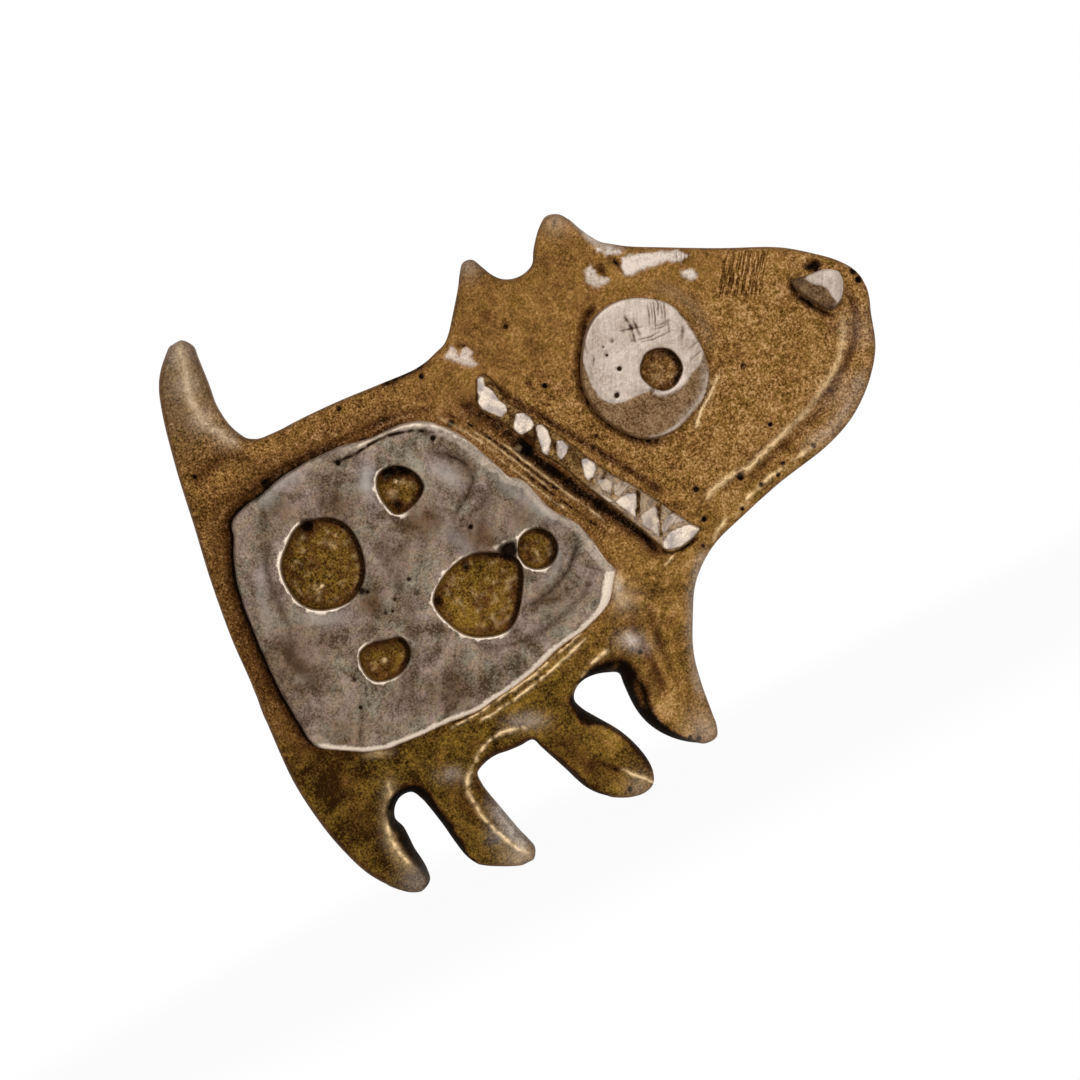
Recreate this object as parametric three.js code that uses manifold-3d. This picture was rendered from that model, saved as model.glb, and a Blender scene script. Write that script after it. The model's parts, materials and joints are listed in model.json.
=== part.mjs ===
// A cast brass dog brooch, worn upright: the dog faces +X, its face side looks to -Y and +Z is up.
// The flat back lies in the plane y = 0, and the pin with its hinge and catch stands behind it at +Y.
// Silver overlays for the saddle, eye, nose and collar sit in seats that are sunk in the casting.
// All sizes are in millimetres.
import * as THREE from 'three';
import { mergeVertices } from 'three/addons/utils/BufferGeometryUtils.js';
import Module from 'manifold-3d';

// Driving dimensions of the dog.
const DOG_LENGTH = 51.5;
const DOG_HEIGHT = 43.7;
const EDGE_WALL = 2.2;
const FACE_RISE = 0.8;
const FACE_SLOPE = 0.45;
const SEAT_FLOOR = 2.0;
const SEAT_GAP = 0.2;

// Driving dimensions of the overlays: how thick each is, and its sloping rim.
const SADDLE_THICKNESS = 1.45;
const EYE_THICKNESS = 2.0;
const NOSE_THICKNESS = 1.9;
const COLLAR_THICKNESS = 1.5;
const OVERLAY_RIM = 0.25;
const PUPIL_RADIUS = 1.43;
const ROUND_SPOT_RADIUS = 1.4;
const EYE_FACET_DEG = 17;
const NOSE_FACET_DEG = 38;

// Driving dimensions of the grooves chiselled in the face, and of the cuts between the collar's teeth.
const LIP_GROOVE_WIDTH = 0.8;
const COLLAR_GROOVE_WIDTH = 0.9;
const TOOTH_CUT_WIDTH = 0.55;

// Driving dimensions of the pin and its hinge. The insets run from the rump to the hinge and from the muzzle
// to the catch, and PIN_HEIGHT is how far the pin stands behind the back.
const HINGE_INSET = 8;
const CATCH_INSET = 13;
const PIN_HEIGHT = 2.55;
const BASE_RADIUS = 2.9;
const BASE_THICKNESS = 0.5;
const EAR_RADIUS = 1.3;
const EAR_THICKNESS = 0.6;
const KNUCKLE_RADIUS = 1.15;
const KNUCKLE_WIDTH = 1.0;
const KNUCKLE_GAP = 0.06;
const RIVET_RADIUS = 0.45;
const RIVET_FIT = 0.06;
const RIVET_HEAD_RADIUS = 0.8;
const RIVET_HEAD_HEIGHT = 0.35;
const STEM_RADIUS = 0.5;
const STEM_CATCH_RADIUS = 0.42;
const STEM_TIP_RUN = 3.2;
const STEM_POINT_LENGTH = 5;

// Driving dimensions of the roll-over catch.
const HOUSING_RADIUS = 1.95;
const HOUSING_LENGTH = 3.2;
const HOUSING_MOUTH_DEG = 116;
const HOUSING_NECK = 1.8;
const ROTOR_RADIUS = 1.34;
const ROTOR_FIT = 0.06;
const ROTOR_BORE = 0.8;
const ROTOR_SLOT = 1.05;
const ROTOR_RIM_RADIUS = 1.65;
const ROTOR_RIM_WIDTH = 0.35;
const ROTOR_END_GAP = 0.08;
const TAB_REACH = 3.4;
const TAB_THICKNESS = 0.5;
const TAB_WIDTH = 1.8;
const TAB_ANGLE_DEG = -40;

// How finely curved outlines and round parts are divided.
const OUTLINE_STEP = 0.85;
const DETAIL_STEP = 0.6;
const ROUND_SIDES = 24;

// The dog's outline as drawn, in stretches that meet at sharp corners, clockwise seen from the front.
const DRAWN_OUTLINE = [
  // tail tip, the tail's front side, and the back as far as the nape
  [[-16.3, 17.9], [-15.4, 17.85], [-14.9, 17.15], [-15, 16.2], [-15.15, 14.35], [-15.35, 12.7],
    [-15.05, 10.75], [-14.2, 9.45], [-12.7, 9.15], [-10.5, 9.15], [-7.5, 9.05], [-4.4, 8.8], [-1.3, 8.65],
    [0.85, 9.25]],
  // rear ear
  [[0.85, 9.25], [1.35, 9.65], [2.4, 10.9], [3.5, 12.3], [4.35, 13.5], [4.95, 13.9], [5.4, 13.5], [5.8, 12.6],
    [6.3, 11.7], [7.1, 11.2], [8, 11.1], [8.9, 11.45]],
  // front ear
  [[8.9, 11.45], [9.55, 12.45], [10.55, 13.55], [11.3, 14], [11.9, 13.9], [12.55, 13.2], [13.2, 11.75],
    [13.85, 10.7]],
  // forehead, muzzle, jaw, throat and chest, down to the front foot and up its inner side
  [[13.85, 10.7], [15.25, 9.65], [17.6, 8.35], [21, 6.55], [24.85, 4.65], [26.6, 3.35], [28.2, 1.85],
    [28.95, 0.6], [29.05, -0.8], [28.5, -2.45], [27.8, -4.5], [26.85, -5.9], [25.45, -7.3], [23.75, -8.45],
    [21.5, -9.3], [19.25, -9.75], [17.6, -10.05], [14.2, -10.95], [11.2, -11.95], [9.05, -13.6],
    [7.7, -15.75], [6.65, -17.95], [6.15, -20.15], [5.85, -22.5], [5.6, -23.75], [5, -24.1], [3.8, -23.65],
    [2.55, -22.6], [1.65, -21.25], [1.25, -19.8], [1.3, -16.9]],
  // the gap behind the front leg, then the third leg
  [[1.3, -16.9], [0.1, -16.3], [-1.55, -16.3], [-2.3, -17], [-2.1, -17.95], [-1.3, -19.2], [-0.4, -20.65],
    [0.25, -22.5], [0.35, -24], [-0.15, -24.95], [-1.2, -25.15], [-2.9, -24.5], [-4.25, -23.2],
    [-5.2, -20.85], [-6.2, -18.3]],
  // the gap under the belly
  [[-6.2, -18.3], [-7.75, -18.25], [-8.95, -18.1], [-10, -18.25], [-10.7, -18.6]],
  // the second leg and the gap behind it
  [[-10.7, -18.6], [-10.8, -19.45], [-10.4, -21.45], [-9.9, -23.6], [-9.5, -25.05], [-9.7, -25.65],
    [-10.45, -25.85], [-12.35, -25.1], [-13.8, -24.05], [-14.25, -22.75], [-14.6, -20.5], [-15.1, -18.35],
    [-15.45, -17.75], [-16.2, -17.65], [-16.85, -17.95], [-17.35, -18.85]],
  // the hind leg, the rump and the tail's rear side
  [[-17.35, -18.85], [-17.1, -19.7], [-17.1, -21.35], [-16.95, -22.9], [-17.25, -24], [-18.1, -24.2],
    [-19.25, -23.45], [-20.7, -21.55], [-21.6, -19.15], [-22.1, -17], [-22.5, -13.5], [-22.35, -9.65],
    [-22, -5.75], [-21.8, -2.3], [-21.25, 2.05], [-20.6, 5.7], [-19.9, 9.85], [-18.95, 14], [-18.25, 15.85],
    [-17.3, 17.1], [-16.3, 17.9]],
];

// The saddle plate as drawn, and the five spots that are cut through it.
const DRAWN_SADDLE = [
  [[-18.4, 3.9], [-18.05, 4.85], [-17.1, 5.35], [-15.35, 5.65], [-13.45, 6.1], [-11.5, 6.25], [-9.2, 6.2],
    [-6.8, 5.75], [-4.4, 5.65], [-3.05, 5.25], [-1.85, 4.25], [-0.75, 2.65], [-0.05, 1], [0.75, -1]],
  [[0.75, -1], [1.35, -1.55], [1.7, -2.25], [2.3, -4.4], [3.4, -6], [4, -8.15], [4.15, -9.3], [4.4, -10.3]],
  [[4.4, -10.3], [3.8, -11.15], [2.9, -12.2], [0.75, -13], [-1.55, -13.4], [-3.5, -13.95], [-5.35, -14.35],
    [-7.15, -14.6], [-8.55, -14.75], [-10.85, -14.55], [-13.8, -14.4], [-16, -14.1], [-18.05, -13.1],
    [-19.85, -11.8], [-20.2, -9.9], [-20.35, -7.3], [-20.25, -4.05], [-19.85, -0.3], [-19.2, 2.25],
    [-18.4, 3.9]],
];
const DRAWN_SPOTS = [
  // the large oval spot over the haunch
  [[-13.95, 2.5], [-15.5, 1.5], [-16.35, 0.5], [-16.6, -0.9], [-16.25, -2.5], [-15.2, -3.45], [-13.15, -3.8],
    [-11.6, -2.9], [-10.85, -1.2], [-10.9, 0.9], [-11.85, 2.05]],
  // the small upper spot
  [[-7.5, 3.05], [-6.8, 3.35], [-5.8, 3.05], [-5, 2.05], [-4.95, 0.95], [-6.2, 0.15], [-7.45, 0.1],
    [-7.85, 0.95], [-7.9, 2.2]],
  // the large spot over the ribs
  [[-2.6, -5.4], [-4.35, -4.75], [-6.5, -5.25], [-7.95, -6.5], [-7.75, -8.15], [-6.7, -9.85], [-4.1, -10.6],
    [-2.2, -8.8], [-1.35, -6.6]],
  // the small lower spot
  [[-14.2, -7.4], [-13.3, -7.1], [-12.3, -7.35], [-11.1, -7.75], [-10.95, -8.8], [-11.7, -9.65], [-13, -9.95],
    [-14.2, -9.5], [-14.5, -8.4]],
];
const ROUND_SPOT = [0.2, -6.5];

// The eye, its pupil, the nose and the collar band as drawn.
const DRAWN_EYE = [
  [9.4, 4.75], [10.65, 5.95], [12, 6.4], [13.4, 6.3], [14.9, 5.65], [16.1, 4.6], [16.75, 3], [16.85, 1.1],
  [16.5, -0.85], [15.6, -2.2], [13.9, -3.1], [12.1, -3.55], [10.35, -3.1], [9.05, -1.7], [8.2, 0], [8.15, 2.3],
];
const PUPIL = [13.6, 0.75];
const DRAWN_NOSE = [
  [24.45, 2.1], [25.75, 1.95], [27, 1.75], [27.75, 1.1], [27.55, 0.15], [26.85, -0.75], [26.1, -1],
  [25.25, -0.05],
];
const DRAWN_COLLAR = [
  [[1.75, 6.1], [2.4, 6.05], [3.05, 3.6], [3.6, 2.6], [4.5, 1.1], [5.3, -0.35], [6.3, -2.5], [7.2, -4.2],
    [8.2, -5.6], [9.15, -7.2], [10, -8.8], [11.05, -10.45]],
  [[11.05, -10.45], [9.9, -10.95], [8.3, -10.95], [7.75, -9.9]],
  [[7.75, -9.9], [6.95, -8], [6.05, -6], [5.15, -4.1], [4.35, -2.2], [3.4, -0.6], [2.75, 0.8], [2.15, 2.2],
    [1, 4.2], [1.75, 6.1]],
];

// Lines of the chiselled grooves: between the lips, and along the head side of the collar.
const DRAWN_LIP = [[27.9, 0.4], [27.6, -1], [27.15, -2.8], [26.15, -4.35], [24.6, -5.35], [22.55, -6.5],
  [20.35, -7.3], [17.9, -7.95], [15.15, -8.4]];
const DRAWN_COLLAR_GROOVE = [[3.05, 6], [3.9, 3.9], [4.95, 1.9], [6.25, -0.5], [8.15, -3.4], [9.8, -6.2],
  [10.8, -8]];

// The edges of the filed facets on the eye and the nose. Each slopes off on the right of its line's direction.
const DRAWN_EYE_FACET = [[9.3, 0], [14.2, -0.85]];
const DRAWN_NOSE_FACET = [[25.6, 1.67], [26.6, -0.1]];

// The cuts between the collar's teeth, from its head side to its body side.
const DRAWN_TOOTH_CUTS = [
  [[3.9, 3.5], [1.5, 1.75]],
  [[4.5, 1.95], [3, 0.1]],
  [[4.95, 0.6], [3.9, -2]],
  [[6, -0.8], [4.45, -3.2]],
  [[6.95, -3], [5.3, -5.25]],
  [[8.75, -5], [6, -6]],
  [[8.8, -5.5], [7.2, -8.1]],
  [[9.35, -6.6], [7.8, -10.9]],
  [[11, -8.2], [7.8, -9.9]],
];

const wasm = await Module();
wasm.setup();

// The drawing is stretched to the driving length and height.
const drawnPoints = DRAWN_OUTLINE.flat().map(([x, z]) => new THREE.Vector2(x, z));
const drawnBox = new THREE.Box2().setFromPoints(drawnPoints);
const drawnSize = drawnBox.getSize(new THREE.Vector2());
const STRETCH_X = DOG_LENGTH / drawnSize.x;
const STRETCH_Z = DOG_HEIGHT / drawnSize.y;
const HINGE_X = drawnBox.min.x * STRETCH_X + HINGE_INSET;
const CATCH_X = drawnBox.max.x * STRETCH_X - CATCH_INSET;

function placed([x, z]) {
  return new THREE.Vector3(x * STRETCH_X, z * STRETCH_Z, 0);
}

// Evenly spaced points along a smooth curve through drawn points; a closed curve leaves out its last point.
function alongCurve(drawn, step, closed = false) {
  const curve = new THREE.CatmullRomCurve3(drawn.map(placed), closed, 'centripetal');
  const count = Math.max(3, Math.round(curve.getLength() / step));
  return curve.getSpacedPoints(count).slice(0, count).map((p) => new THREE.Vector2(p.x, p.y));
}

function cornered(stretches, step) {
  return stretches.flatMap((stretch) => alongCurve(stretch, step));
}

function circle([x, z], radius) {
  const centre = placed([x, z]);
  return Array.from({ length: ROUND_SIDES }, (_, i) => {
    const turn = (i / ROUND_SIDES) * 2 * Math.PI;
    return new THREE.Vector2(centre.x + radius * Math.cos(turn), centre.y + radius * Math.sin(turn));
  });
}

// A loop moved outwards by a gap, along the mean normal of the two edges that meet at each point.
function grown(loop, gap) {
  const side = THREE.ShapeUtils.isClockWise(loop) ? 1 : -1;
  return loop.map((point, i) => {
    const before = loop[(i + loop.length - 1) % loop.length];
    const after = loop[(i + 1) % loop.length];
    const tangent = after.clone().sub(before).normalize();
    return new THREE.Vector2(point.x - side * gap * tangent.y, point.y + side * gap * tangent.x);
  });
}

function solidOf(geometry) {
  const bare = geometry.index ? geometry.toNonIndexed() : geometry.clone();
  bare.deleteAttribute('normal');
  bare.deleteAttribute('uv');
  const merged = mergeVertices(bare, 1e-5);
  return new wasm.Manifold(new wasm.Mesh({
    numProp: 3,
    vertProperties: new Float32Array(merged.attributes.position.array),
    triVerts: new Uint32Array(merged.index.array),
  }));
}

function geometryOf(solid) {
  const { numProp, vertProperties, triVerts } = solid.getMesh();
  const positions = new Float32Array((vertProperties.length / numProp) * 3);
  for (let i = 0; i < positions.length / 3; i += 1) {
    positions.set(vertProperties.subarray(i * numProp, i * numProp + 3), i * 3);
  }
  const geometry = new THREE.BufferGeometry();
  geometry.setAttribute('position', new THREE.BufferAttribute(positions, 3));
  geometry.setIndex([...triVerts]);
  return geometry;
}

function blockSolid(min, max) {
  const size = max.map((value, i) => value - min[i]);
  const middle = max.map((value, i) => (value + min[i]) / 2);
  return solidOf(new THREE.BoxGeometry(...size).translate(...middle));
}

// A plate that stands to the front, from one depth to a higher one. Its outer rim slopes near the front by
// rim, and rise is the height that the slope takes. The back is left flat.
function plateSolid(loop, from, to, rim = 0, rise = rim) {
  const foot = rim > 0 ? 1 : 0;
  const plate = new THREE.ExtrudeGeometry(new THREE.Shape(loop), {
    depth: to - from - (rim > 0 ? rise : 0) + foot,
    bevelEnabled: rim > 0,
    bevelThickness: rise,
    bevelSize: rim,
    bevelOffset: -rim,
    bevelSegments: 2,
  }).translate(0, 0, from - foot).rotateX(Math.PI / 2);
  const solid = solidOf(plate);
  if (foot === 0) return solid;
  const reach = DOG_LENGTH + DOG_HEIGHT;
  return solid.subtract(blockSolid([-reach, -from, -reach], [reach, -from + foot + rise + 1, reach]));
}

// A square-edged cutter for a seat: the outline with its clearance, from the seat's floor out past the face.
function seatCutter(loop) {
  return plateSolid(grown(loop, SEAT_GAP), SEAT_FLOOR, EDGE_WALL + FACE_RISE + 1);
}

// A cutter for a chiselled groove: a square bar turned on its edge, carried along a drawn line on a front.
function grooveCutter(drawn, width, front) {
  const path = new THREE.CatmullRomCurve3(drawn.map(placed).map((p) => new THREE.Vector3(p.x, -front, p.y)));
  const half = width / 2;
  const corners = [[half, 0], [0, half], [-half, 0], [0, -half]];
  const section = new THREE.Shape(corners.map((p) => new THREE.Vector2(...p)));
  const steps = Math.round(path.getLength() / DETAIL_STEP / 2);
  return solidOf(new THREE.ExtrudeGeometry(section, { steps, extrudePath: path, bevelEnabled: false }));
}

// A cutter that files a flat front off at a slope, on the right of a drawn line's direction as seen from the
// front.
function facetCutter([from, to], slopeDeg, front) {
  const start = placed(from);
  const along = placed(to).sub(start).normalize();
  const slope = THREE.MathUtils.degToRad(slopeDeg);
  const line = new THREE.Vector3(along.x, 0, along.y);
  const side = new THREE.Vector3(along.y, 0, -along.x);
  const back = new THREE.Vector3(0, 1, 0);
  const downSlope = side.clone().multiplyScalar(Math.cos(slope)).addScaledVector(back, Math.sin(slope));
  const normal = side.clone().multiplyScalar(Math.sin(slope)).addScaledVector(back, -Math.cos(slope));
  const turn = new THREE.Matrix4().makeBasis(downSlope, line, normal).setPosition(start.x, -front, start.y);
  const block = new THREE.BoxGeometry(DOG_HEIGHT, DOG_HEIGHT, DOG_HEIGHT);
  return solidOf(block.translate(DOG_HEIGHT / 2, 0, DOG_HEIGHT / 2).applyMatrix4(turn));
}

// A solid with a section drawn in the plane across the pin line, y to the back and z up, and a run along x.
function alongPin(shape, from, to) {
  const curveSegments = ROUND_SIDES / 2;
  const run = new THREE.ExtrudeGeometry(shape, { depth: to - from, bevelEnabled: false, curveSegments });
  const turn = new THREE.Matrix4().makeBasis(
    new THREE.Vector3(0, 1, 0), new THREE.Vector3(0, 0, 1), new THREE.Vector3(1, 0, 0));
  return solidOf(run.applyMatrix4(turn).translate(from, PIN_HEIGHT, 0));
}

// A round bar parallel to z, through the hinge's axis.
function hingeBar(radius, from, to) {
  const bar = new THREE.CylinderGeometry(radius, radius, to - from, ROUND_SIDES).rotateX(Math.PI / 2);
  return solidOf(bar.translate(HINGE_X, PIN_HEIGHT, (from + to) / 2));
}

// A round patch on the casting's back that carries one of the findings.
function basePatch(x) {
  const patch = new THREE.CylinderGeometry(BASE_RADIUS, BASE_RADIUS, BASE_THICKNESS, ROUND_SIDES * 2);
  return solidOf(patch.translate(x, BASE_THICKNESS / 2, 0));
}

const outline = cornered(DRAWN_OUTLINE, OUTLINE_STEP);
const saddle = cornered(DRAWN_SADDLE, OUTLINE_STEP);
const spots = [
  ...DRAWN_SPOTS.map((drawn) => alongCurve(drawn, DETAIL_STEP, true)),
  circle(ROUND_SPOT, ROUND_SPOT_RADIUS),
];
const eye = alongCurve(DRAWN_EYE, DETAIL_STEP, true);
const nose = alongCurve(DRAWN_NOSE, DETAIL_STEP, true);
const collar = cornered(DRAWN_COLLAR, DETAIL_STEP);

function dogCasting() {
  const face = EDGE_WALL + FACE_RISE;
  let casting = plateSolid(outline, 0, face, FACE_SLOPE, FACE_RISE);
  for (const loop of [saddle, eye, nose, collar]) casting = casting.subtract(seatCutter(loop));
  casting = casting.subtract(grooveCutter(DRAWN_LIP, LIP_GROOVE_WIDTH, face));
  return casting.subtract(grooveCutter(DRAWN_COLLAR_GROOVE, COLLAR_GROOVE_WIDTH, face));
}

// A silver overlay on the floor of its seat, with the holes that are cut right through it.
function overlay(loop, holes, thickness) {
  const front = SEAT_FLOOR + thickness;
  return holes.reduce(
    (plate, hole) => plate.subtract(plateSolid(hole, SEAT_FLOOR - 1, front + 1)),
    plateSolid(loop, SEAT_FLOOR, front, OVERLAY_RIM),
  );
}

function eyeDisc() {
  return overlay(eye, [circle(PUPIL, PUPIL_RADIUS)], EYE_THICKNESS)
    .subtract(facetCutter(DRAWN_EYE_FACET, EYE_FACET_DEG, SEAT_FLOOR + EYE_THICKNESS));
}

function noseTip() {
  return overlay(nose, [], NOSE_THICKNESS)
    .subtract(facetCutter(DRAWN_NOSE_FACET, NOSE_FACET_DEG, SEAT_FLOOR + NOSE_THICKNESS));
}

function collarBand() {
  const front = SEAT_FLOOR + COLLAR_THICKNESS;
  return DRAWN_TOOTH_CUTS.reduce(
    (band, cut) => band.subtract(grooveCutter(cut, TOOTH_CUT_WIDTH, front)),
    overlay(collar, [], COLLAR_THICKNESS),
  );
}

// The hinge: a round patch and two ears with the rivet's hole through both.
function hingeBase() {
  const earInside = KNUCKLE_WIDTH / 2 + KNUCKLE_GAP;
  const earOutside = earInside + EAR_THICKNESS;
  const foot = BASE_THICKNESS / 2;
  const left = HINGE_X - EAR_RADIUS;
  const right = HINGE_X + EAR_RADIUS;
  let base = hingeBar(EAR_RADIUS, -earOutside, earOutside);
  base = base.add(blockSolid([left, foot, -earOutside], [right, PIN_HEIGHT, earOutside]));
  const slot = EAR_RADIUS + 1;
  base = base.subtract(blockSolid(
    [HINGE_X - slot, 0, -earInside], [HINGE_X + slot, PIN_HEIGHT + slot, earInside]));
  base = base.add(basePatch(HINGE_X));
  return base.subtract(hingeBar(RIVET_RADIUS + RIVET_FIT, -earOutside - 1, earOutside + 1));
}

function hingeRivet() {
  const shank = KNUCKLE_WIDTH / 2 + KNUCKLE_GAP + EAR_THICKNESS;
  return hingeBar(RIVET_RADIUS, -shank - RIVET_HEAD_HEIGHT / 2, shank + RIVET_HEAD_HEIGHT / 2)
    .add(hingeBar(RIVET_HEAD_RADIUS, shank, shank + RIVET_HEAD_HEIGHT))
    .add(hingeBar(RIVET_HEAD_RADIUS, -shank - RIVET_HEAD_HEIGHT, -shank));
}

// The pin: a flat round knuckle on the rivet and a wire that thins to the catch and ends in a sharp point.
function pinStem() {
  const reach = CATCH_X - HINGE_X;
  const length = reach + HOUSING_LENGTH / 2 + STEM_TIP_RUN;
  const root = (RIVET_RADIUS + KNUCKLE_RADIUS) / 2;
  const profile = [
    [0, root],
    [STEM_RADIUS, root],
    [STEM_RADIUS, reach / 3],
    [STEM_CATCH_RADIUS, reach - HOUSING_LENGTH],
    [STEM_CATCH_RADIUS, length - STEM_POINT_LENGTH],
    [STEM_CATCH_RADIUS * 0.6, length - STEM_POINT_LENGTH / 3],
    [0, length],
  ].map((p) => new THREE.Vector2(...p));
  const wire = new THREE.LatheGeometry(profile, ROUND_SIDES).rotateZ(-Math.PI / 2);
  return hingeBar(KNUCKLE_RADIUS, -KNUCKLE_WIDTH / 2, KNUCKLE_WIDTH / 2)
    .add(solidOf(wire.translate(HINGE_X, PIN_HEIGHT, 0)))
    .subtract(hingeBar(RIVET_RADIUS + RIVET_FIT, -KNUCKLE_WIDTH, KNUCKLE_WIDTH));
}

// The catch's fixed part: a round patch, a neck and a tube with a wide mouth to the back.
function catchHousing() {
  const bore = ROTOR_RADIUS + ROTOR_FIT;
  const half = THREE.MathUtils.degToRad(HOUSING_MOUTH_DEG / 2);
  const section = new THREE.Shape();
  section.absarc(0, 0, HOUSING_RADIUS, half, 2 * Math.PI - half, false);
  section.absarc(0, 0, bore, 2 * Math.PI - half, half, true);
  const start = CATCH_X - HOUSING_LENGTH / 2;
  const end = CATCH_X + HOUSING_LENGTH / 2;
  const side = HOUSING_NECK / 2;
  const neck = blockSolid([start, BASE_THICKNESS / 2, -side], [end, PIN_HEIGHT - bore, side]);
  const boreShape = new THREE.Shape();
  boreShape.absarc(0, 0, bore, 0, 2 * Math.PI, false);
  return alongPin(section, start, end).add(neck).add(basePatch(CATCH_X))
    .subtract(alongPin(boreShape, start - 1, end + 1));
}

// A ring of the rotor, open to the back by a slot with parallel sides that the pin passes.
function slottedRing(radius, from, to) {
  const slot = ROTOR_SLOT / 2;
  const outer = Math.asin(slot / radius);
  const inner = Math.asin(slot / ROTOR_BORE);
  const section = new THREE.Shape();
  section.absarc(0, 0, radius, outer, 2 * Math.PI - outer, false);
  section.absarc(0, 0, ROTOR_BORE, 2 * Math.PI - inner, inner, true);
  return alongPin(section, from, to);
}

// The catch's turning part: a slotted tube with a rim past each end of the housing and a thumb tab.
function catchRotor() {
  const rimStart = HOUSING_LENGTH / 2 + ROTOR_END_GAP;
  const rimEnd = rimStart + ROTOR_RIM_WIDTH;
  const tab = new THREE.BoxGeometry(TAB_WIDTH, TAB_REACH - ROTOR_BORE, TAB_THICKNESS)
    .translate(0, (TAB_REACH + ROTOR_BORE) / 2, 0)
    .rotateX(THREE.MathUtils.degToRad(TAB_ANGLE_DEG));
  const bar = new THREE.Shape();
  bar.absarc(0, 0, ROTOR_BORE, 0, 2 * Math.PI, false);
  return slottedRing(ROTOR_RADIUS, CATCH_X - rimEnd, CATCH_X + rimEnd)
    .add(slottedRing(ROTOR_RIM_RADIUS, CATCH_X + rimStart, CATCH_X + rimEnd))
    .add(slottedRing(ROTOR_RIM_RADIUS, CATCH_X - rimEnd, CATCH_X - rimStart))
    .add(solidOf(tab.translate(CATCH_X, PIN_HEIGHT, 0)))
    .subtract(alongPin(bar, CATCH_X - rimEnd - 1, CATCH_X + rimEnd + 1));
}

const brass = { color: 0x86683c, roughness: 0.42, metalness: 0.9 };
const silver = { color: 0x9a918a, roughness: 0.35, metalness: 0.9 };
const brightSilver = { color: 0xd8cfc6, roughness: 0.3, metalness: 0.85 };
const steel = { color: 0xb9b6b0, roughness: 0.28, metalness: 1 };

const brooch = new THREE.Group();

function addPiece(name, solid, finish) {
  const mesh = new THREE.Mesh(geometryOf(solid), new THREE.MeshStandardMaterial(finish));
  mesh.name = name;
  brooch.add(mesh);
}

addPiece('dog_casting', dogCasting(), brass);
addPiece('saddle_plate', overlay(saddle, spots, SADDLE_THICKNESS), silver);
addPiece('eye_disc', eyeDisc(), brightSilver);
addPiece('nose_tip', noseTip(), brightSilver);
addPiece('collar_band', collarBand(), silver);
addPiece('hinge_base', hingeBase(), brass);
addPiece('hinge_rivet', hingeRivet(), brass);
addPiece('pin_stem', pinStem(), steel);
addPiece('catch_housing', catchHousing(), brass);
addPiece('catch_rotor', catchRotor(), brass);

export default brooch;
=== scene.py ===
"""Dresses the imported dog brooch: a cast brass dog with silver overlays, and the pin and catch behind it.

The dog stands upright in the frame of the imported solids: its nose points to +X, its face side looks to -Y and
+Z is up. Shapes are worked out in millimetres and written to their meshes in metres. Places on the dog that
come from the photograph are kept in its pixels, 1080 across, and turned into millimetres by on_dog.
"""

import json
import math
from collections import namedtuple

import bpy
import numpy as np
from mathutils import Matrix, Vector
from mathutils.geometry import delaunay_2d_cdt


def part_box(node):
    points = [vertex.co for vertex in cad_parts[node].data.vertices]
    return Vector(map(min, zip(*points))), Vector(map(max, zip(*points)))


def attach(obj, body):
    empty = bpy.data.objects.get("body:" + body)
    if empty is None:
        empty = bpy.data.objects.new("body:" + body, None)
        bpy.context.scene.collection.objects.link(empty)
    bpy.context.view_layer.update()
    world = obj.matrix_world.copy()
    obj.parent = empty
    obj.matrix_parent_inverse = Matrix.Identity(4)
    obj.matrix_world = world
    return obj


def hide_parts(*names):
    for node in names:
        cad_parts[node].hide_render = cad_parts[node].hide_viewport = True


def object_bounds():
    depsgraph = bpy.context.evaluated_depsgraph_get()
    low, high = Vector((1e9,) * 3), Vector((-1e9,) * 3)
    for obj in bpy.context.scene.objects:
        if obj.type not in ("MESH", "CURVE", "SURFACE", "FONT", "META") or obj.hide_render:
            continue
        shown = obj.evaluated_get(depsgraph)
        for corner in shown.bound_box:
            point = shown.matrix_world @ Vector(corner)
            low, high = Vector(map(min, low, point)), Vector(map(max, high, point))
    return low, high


bl_info = {
    "name": "Dog brooch",
    "version": (1, 0, 0),
    "blender": (4, 5, 0),
    "location": "3D View > Sidebar > Brooch",
    "description": "Builds the visible surfaces, finishes and stage of a cast dog brooch around its solids",
    "category": "Object",
}

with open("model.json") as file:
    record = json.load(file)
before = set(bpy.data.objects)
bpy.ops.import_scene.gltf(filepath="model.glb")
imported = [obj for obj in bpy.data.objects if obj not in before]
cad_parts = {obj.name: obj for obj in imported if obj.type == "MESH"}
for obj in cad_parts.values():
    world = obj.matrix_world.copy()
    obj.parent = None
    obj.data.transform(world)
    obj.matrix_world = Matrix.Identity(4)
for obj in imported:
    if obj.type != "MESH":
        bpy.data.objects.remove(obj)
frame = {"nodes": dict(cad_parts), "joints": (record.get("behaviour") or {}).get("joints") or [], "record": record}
CAD_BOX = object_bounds()

MM = 0.001
JOINTS = {joint["name"]: np.array(joint["pos_m"]) / MM for joint in frame["joints"]}

# How the photograph shows the dog: the size of a pixel, the pixel of the dog's own zero, and the dog's tilt.
PIXEL = 0.07
ZERO_PIXEL = (493.0, 467.3)
TILT = math.radians(27)
PHOTO_WIDTH = 1080

# The side of the tiles in which distances are worked out, and how far from a loop its depth is worked out.
TILE = 2.0
LOOP_REACH = 2.0
# The least value that anything is divided by.
TINY = 1e-12
# How far a point of a solid's flat face may lie off its depth.
FLATNESS = 0.005
# How far apart the numbers of the small squares in neighbouring columns lie.
COLUMN_STEP = 1_000_000

# How many points a drawn line has for each piece of its path.
LINE_STEPS = 5
# The step between points along fine lines, and which lines and pits are so fine that they need their own.
DETAIL_STEP = 0.08
THIN_LINE = 0.25
SMALL_PIT = 0.6
# How far beside a thin line its rows of points lie, in half widths.
LINE_ROWS = (-1.3, -0.6, 0, 0.6, 1.3)
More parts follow.
